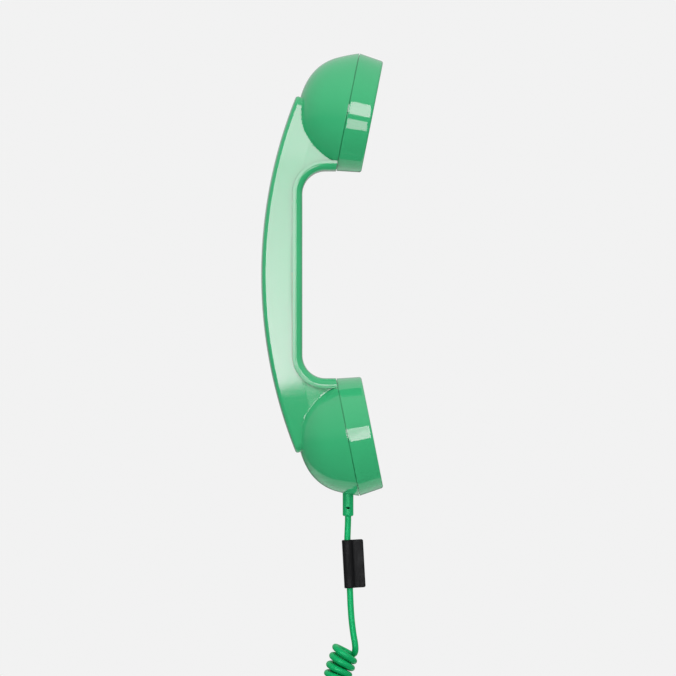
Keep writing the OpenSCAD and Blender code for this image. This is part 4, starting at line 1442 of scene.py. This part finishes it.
@dataclass
class Setting:
    """Camera, lights, floor and backdrop."""

    eye: tuple[float, float, float] = (0.02672, -3.0, -0.0301)
    frame_width: float = 0.3211
    sensor: float = 36
    pale: float = 0.887
    floor_z: float = -0.36

    def camera(self) -> None:
        """A long lens level with the handset, square to its side."""
        data = bpy.data.cameras.new("camera")
        data.sensor_width = self.sensor
        data.lens = self.sensor * -self.eye[1] / self.frame_width
        data.clip_end = 50
        camera = bpy.data.objects.new("camera", data)
        camera.location = self.eye
        camera.rotation_euler = (math.pi / 2, 0, 0)
        bpy.context.scene.collection.objects.link(camera)
        bpy.context.scene.camera = camera

    def panel(self, name: str, rows: Sequence[tuple[float, Sequence[tuple[float, float]]]],
              distance: float = 6) -> None:
        """A glowing panel that only shows in reflections.

        Args:
            name: The panel's name.
            rows: Strength of each row and its left and right ends, as azimuth and elevation in degrees.
            distance: How far it stands from the handset, in metres.
        """
        vertices, glow = [], []
        for strength, ends in rows:
            for azimuth, elevation in ends:
                a, e = math.radians(azimuth), math.radians(elevation)
                vertices.append((distance * math.tan(a), -distance, distance * math.tan(e) / math.cos(a)))
                glow.append(strength)
        faces = [(2 * i, 2 * i + 1, 2 * i + 3, 2 * i + 2) for i in range(len(rows) - 1)]
        mesh = bpy.data.meshes.new(name)
        mesh.from_pydata(vertices, [], faces)
        mesh.attributes.new("glow", "FLOAT", "POINT").data.foreach_set("value", glow)
        panel = bpy.data.objects.new(name, mesh)
        bpy.context.scene.collection.objects.link(panel)
        material = bpy.data.materials.new(name)
        material.use_nodes = True
        tree = material.node_tree
        tree.nodes.clear()
        level = tree.nodes.new("ShaderNodeAttribute")
        level.attribute_name = "glow"
        light = tree.nodes.new("ShaderNodeEmission")
        out = tree.nodes.new("ShaderNodeOutputMaterial")
        tree.links.new(level.outputs["Fac"], light.inputs["Strength"])
        tree.links.new(light.outputs[0], out.inputs[0])
        mesh.materials.append(material)
        for kind in ("camera", "diffuse", "transmission", "volume_scatter", "shadow"):
            setattr(panel, "visible_" + kind, False)

    def lamp(self, name: str, place: Sequence[float], size: float, power: float) -> None:
        """A soft square lamp aimed at the handset, unseen in reflections."""
        data = bpy.data.lights.new(name, "AREA")
        data.size = size
        data.energy = power
        lamp = bpy.data.objects.new(name, data)
        lamp.location = place
        lamp.rotation_euler = (-Vector(place)).to_track_quat("-Z", "Y").to_euler()
        lamp.visible_camera = False
        lamp.visible_glossy = False
        bpy.context.scene.collection.objects.link(lamp)

    def world(self) -> None:
        """A pale room, dimmer in reflections below the horizon."""
        world = bpy.data.worlds.new("room")
        bpy.context.scene.world = world
        world.use_nodes = True
        tree = world.node_tree
        tree.nodes.clear()
        add = tree.nodes.new
        path, place, split = (add("ShaderNodeLightPath"), add("ShaderNodeTexCoord"),
                              add("ShaderNodeSeparateXYZ"))
        ramp = add("ShaderNodeValToRGB")
        spots = ((0.0, 0.05), (0.42, 0.12), (0.51, 0.42), (0.75, 0.8), (1.0, 1.2))
        for i, (at, level) in enumerate(spots):
            stop = ramp.color_ramp.elements[i] if i < 2 else ramp.color_ramp.elements.new(at)
            stop.position = at
            stop.color = (level, level, level, 1)
        shift = add("ShaderNodeMapRange")
        shift.inputs["From Min"].default_value = -1
        tree.links.new(place.outputs["Generated"], split.inputs[0])
        tree.links.new(split.outputs["Z"], shift.inputs["Value"])
        tree.links.new(shift.outputs[0], ramp.inputs[0])
        seen, mirrored, plain = (add("ShaderNodeBackground"), add("ShaderNodeBackground"),
                                 add("ShaderNodeBackground"))
        seen.inputs["Color"].default_value = (self.pale, self.pale, self.pale, 1)
        plain.inputs["Color"].default_value = (0.62, 0.62, 0.62, 1)
        blend = add("ShaderNodeMix")
        blend.data_type = "RGBA"
        patches = [self.step(tree, split, (0.0, 0.8, -0.6), 0.75, 0.80),
                   self.step(tree, split, (0.0, 0.0, -1.0), 0.1, 0.6)]
        patch = add("ShaderNodeMath")
        patch.operation = "MULTIPLY"
        for socket, value in zip(patch.inputs, patches):
            tree.links.new(value, socket)
        tree.links.new(patch.outputs[0], blend.inputs[0])
        tree.links.new(ramp.outputs[0], blend.inputs[6])
        blend.inputs[7].default_value = (0.85, 0.85, 0.85, 1)
        tree.links.new(blend.outputs[2], mirrored.inputs["Color"])
        first, second, out = (add("ShaderNodeMixShader"), add("ShaderNodeMixShader"),
                              add("ShaderNodeOutputWorld"))
        tree.links.new(path.outputs["Is Glossy Ray"], first.inputs[0])
        tree.links.new(plain.outputs[0], first.inputs[1])
        tree.links.new(mirrored.outputs[0], first.inputs[2])
        tree.links.new(path.outputs["Is Camera Ray"], second.inputs[0])
        tree.links.new(first.outputs[0], second.inputs[1])
        tree.links.new(seen.outputs[0], second.inputs[2])
        tree.links.new(second.outputs[0], out.inputs[0])

    @staticmethod
    def step(tree: bpy.types.NodeTree, split: bpy.types.Node, way: Sequence[float], low: float,
             high: float) -> bpy.types.NodeSocket:
        """A soft step across the world's directions.

        Args:
            tree: The world's node tree.
            split: The node that gives a direction's X, Y and Z.
            way: The direction that the step rises along.
            low: Where it starts.
            high: Where it ends.

        Returns:
            The step, from 0 to 1.
        """
        total = None
        for axis, share in zip("XYZ", way):
            node = tree.nodes.new("ShaderNodeMath")
            node.operation = "MULTIPLY_ADD"
            tree.links.new(split.outputs[axis], node.inputs[0])
            node.inputs[1].default_value = share
            node.inputs[2].default_value = 0
            if total is not None:
                tree.links.new(total, node.inputs[2])
            total = node.outputs[0]
        span = tree.nodes.new("ShaderNodeMapRange")
        span.interpolation_type = "SMOOTHSTEP"
        tree.links.new(total, span.inputs["Value"])
        span.inputs["From Min"].default_value = low
        span.inputs["From Max"].default_value = high
        return span.outputs[0]

    def floor(self) -> None:
        """A plain pale disc of floor."""
        rim = [(2.4 * math.cos(a), 2.4 * math.sin(a), self.floor_z)
               for a in np.linspace(0, 2 * math.pi, 96, endpoint=False)]
        mesh = bpy.data.meshes.new("floor")
        mesh.from_pydata(rim, [], [list(range(len(rim)))])
        floor = bpy.data.objects.new("floor", mesh)
        bpy.context.scene.collection.objects.link(floor)
        n = Nodes("pale_floor")
        n.shades(n.spread(n.noise(3, 2), 0, 1), (0.80, 0.80, 0.80), (0.84, 0.84, 0.84))
        n.bumps([(n.noise(300, 3), 0.05, 0.0005)])
        n.set(Roughness=0.8)
        mesh.materials.append(n.material)
        floor.visible_glossy = False

    def build(self) -> None:
        """Sets the camera, the room and the lights."""
        self.camera()
        self.world()
        self.floor()
        bpy.context.scene.view_settings.view_transform = "Standard"
        self.panel("window_main", [
            (16.5, ((-33, -8.5), (4, 0.45))), (10.0, ((-33, 9.0), (4, 0.85))), (8.8, ((-33, 9.6), (4, 1.1))),
            (11.2, ((-33, 9.9), (4, 1.25))), (11.2, ((-33, 19), (4, 14)))])
        self.panel("window_front", [(11, ((9, -6.5), (20, -6.5))), (11, ((9, 17), (20, 17)))])
        self.panel("window_low", [(8, ((9, -20), (20, -20))), (8, ((9, -0.1), (20, -0.1)))], 0.27)
        self.lamp("key", (-0.6, -1.6, 2.2), 1.4, 38)
        self.lamp("fill", (1.2, -2.0, 0.4), 1.6, 12)


def dress_inner_parts() -> None:
    """Gives the carried-over inner nodes their finishes."""
    rows = frame["record"]["subparts"]
    for row in rows:
        node = bpy.data.objects.get(row["node"])
        node = frame["nodes"][row["node"]] if node is None else node
        if node.hide_render:
            continue
        node.data.materials.clear()
        node.data.materials.append(finish_of(row["material_slot"]))


def main() -> None:
    """Builds the handset, its cord and its setting."""
    logging.basicConfig(level=logging.INFO, format="%(name)s: %(message)s")
    Setting().build()
    cord = Cord()
    strand = cord.build()
    riders = [Tag().build(), *Plug().build()]
    riders.append(frame["nodes"]["plug_insulators"])
    StrainRelief().build()
    cord.declare()
    form = Form()
    Shells(form).build()
    Caps(form).build()
    PressButton().build()
    dress_inner_parts()


if __name__ == "__main__":
    main()
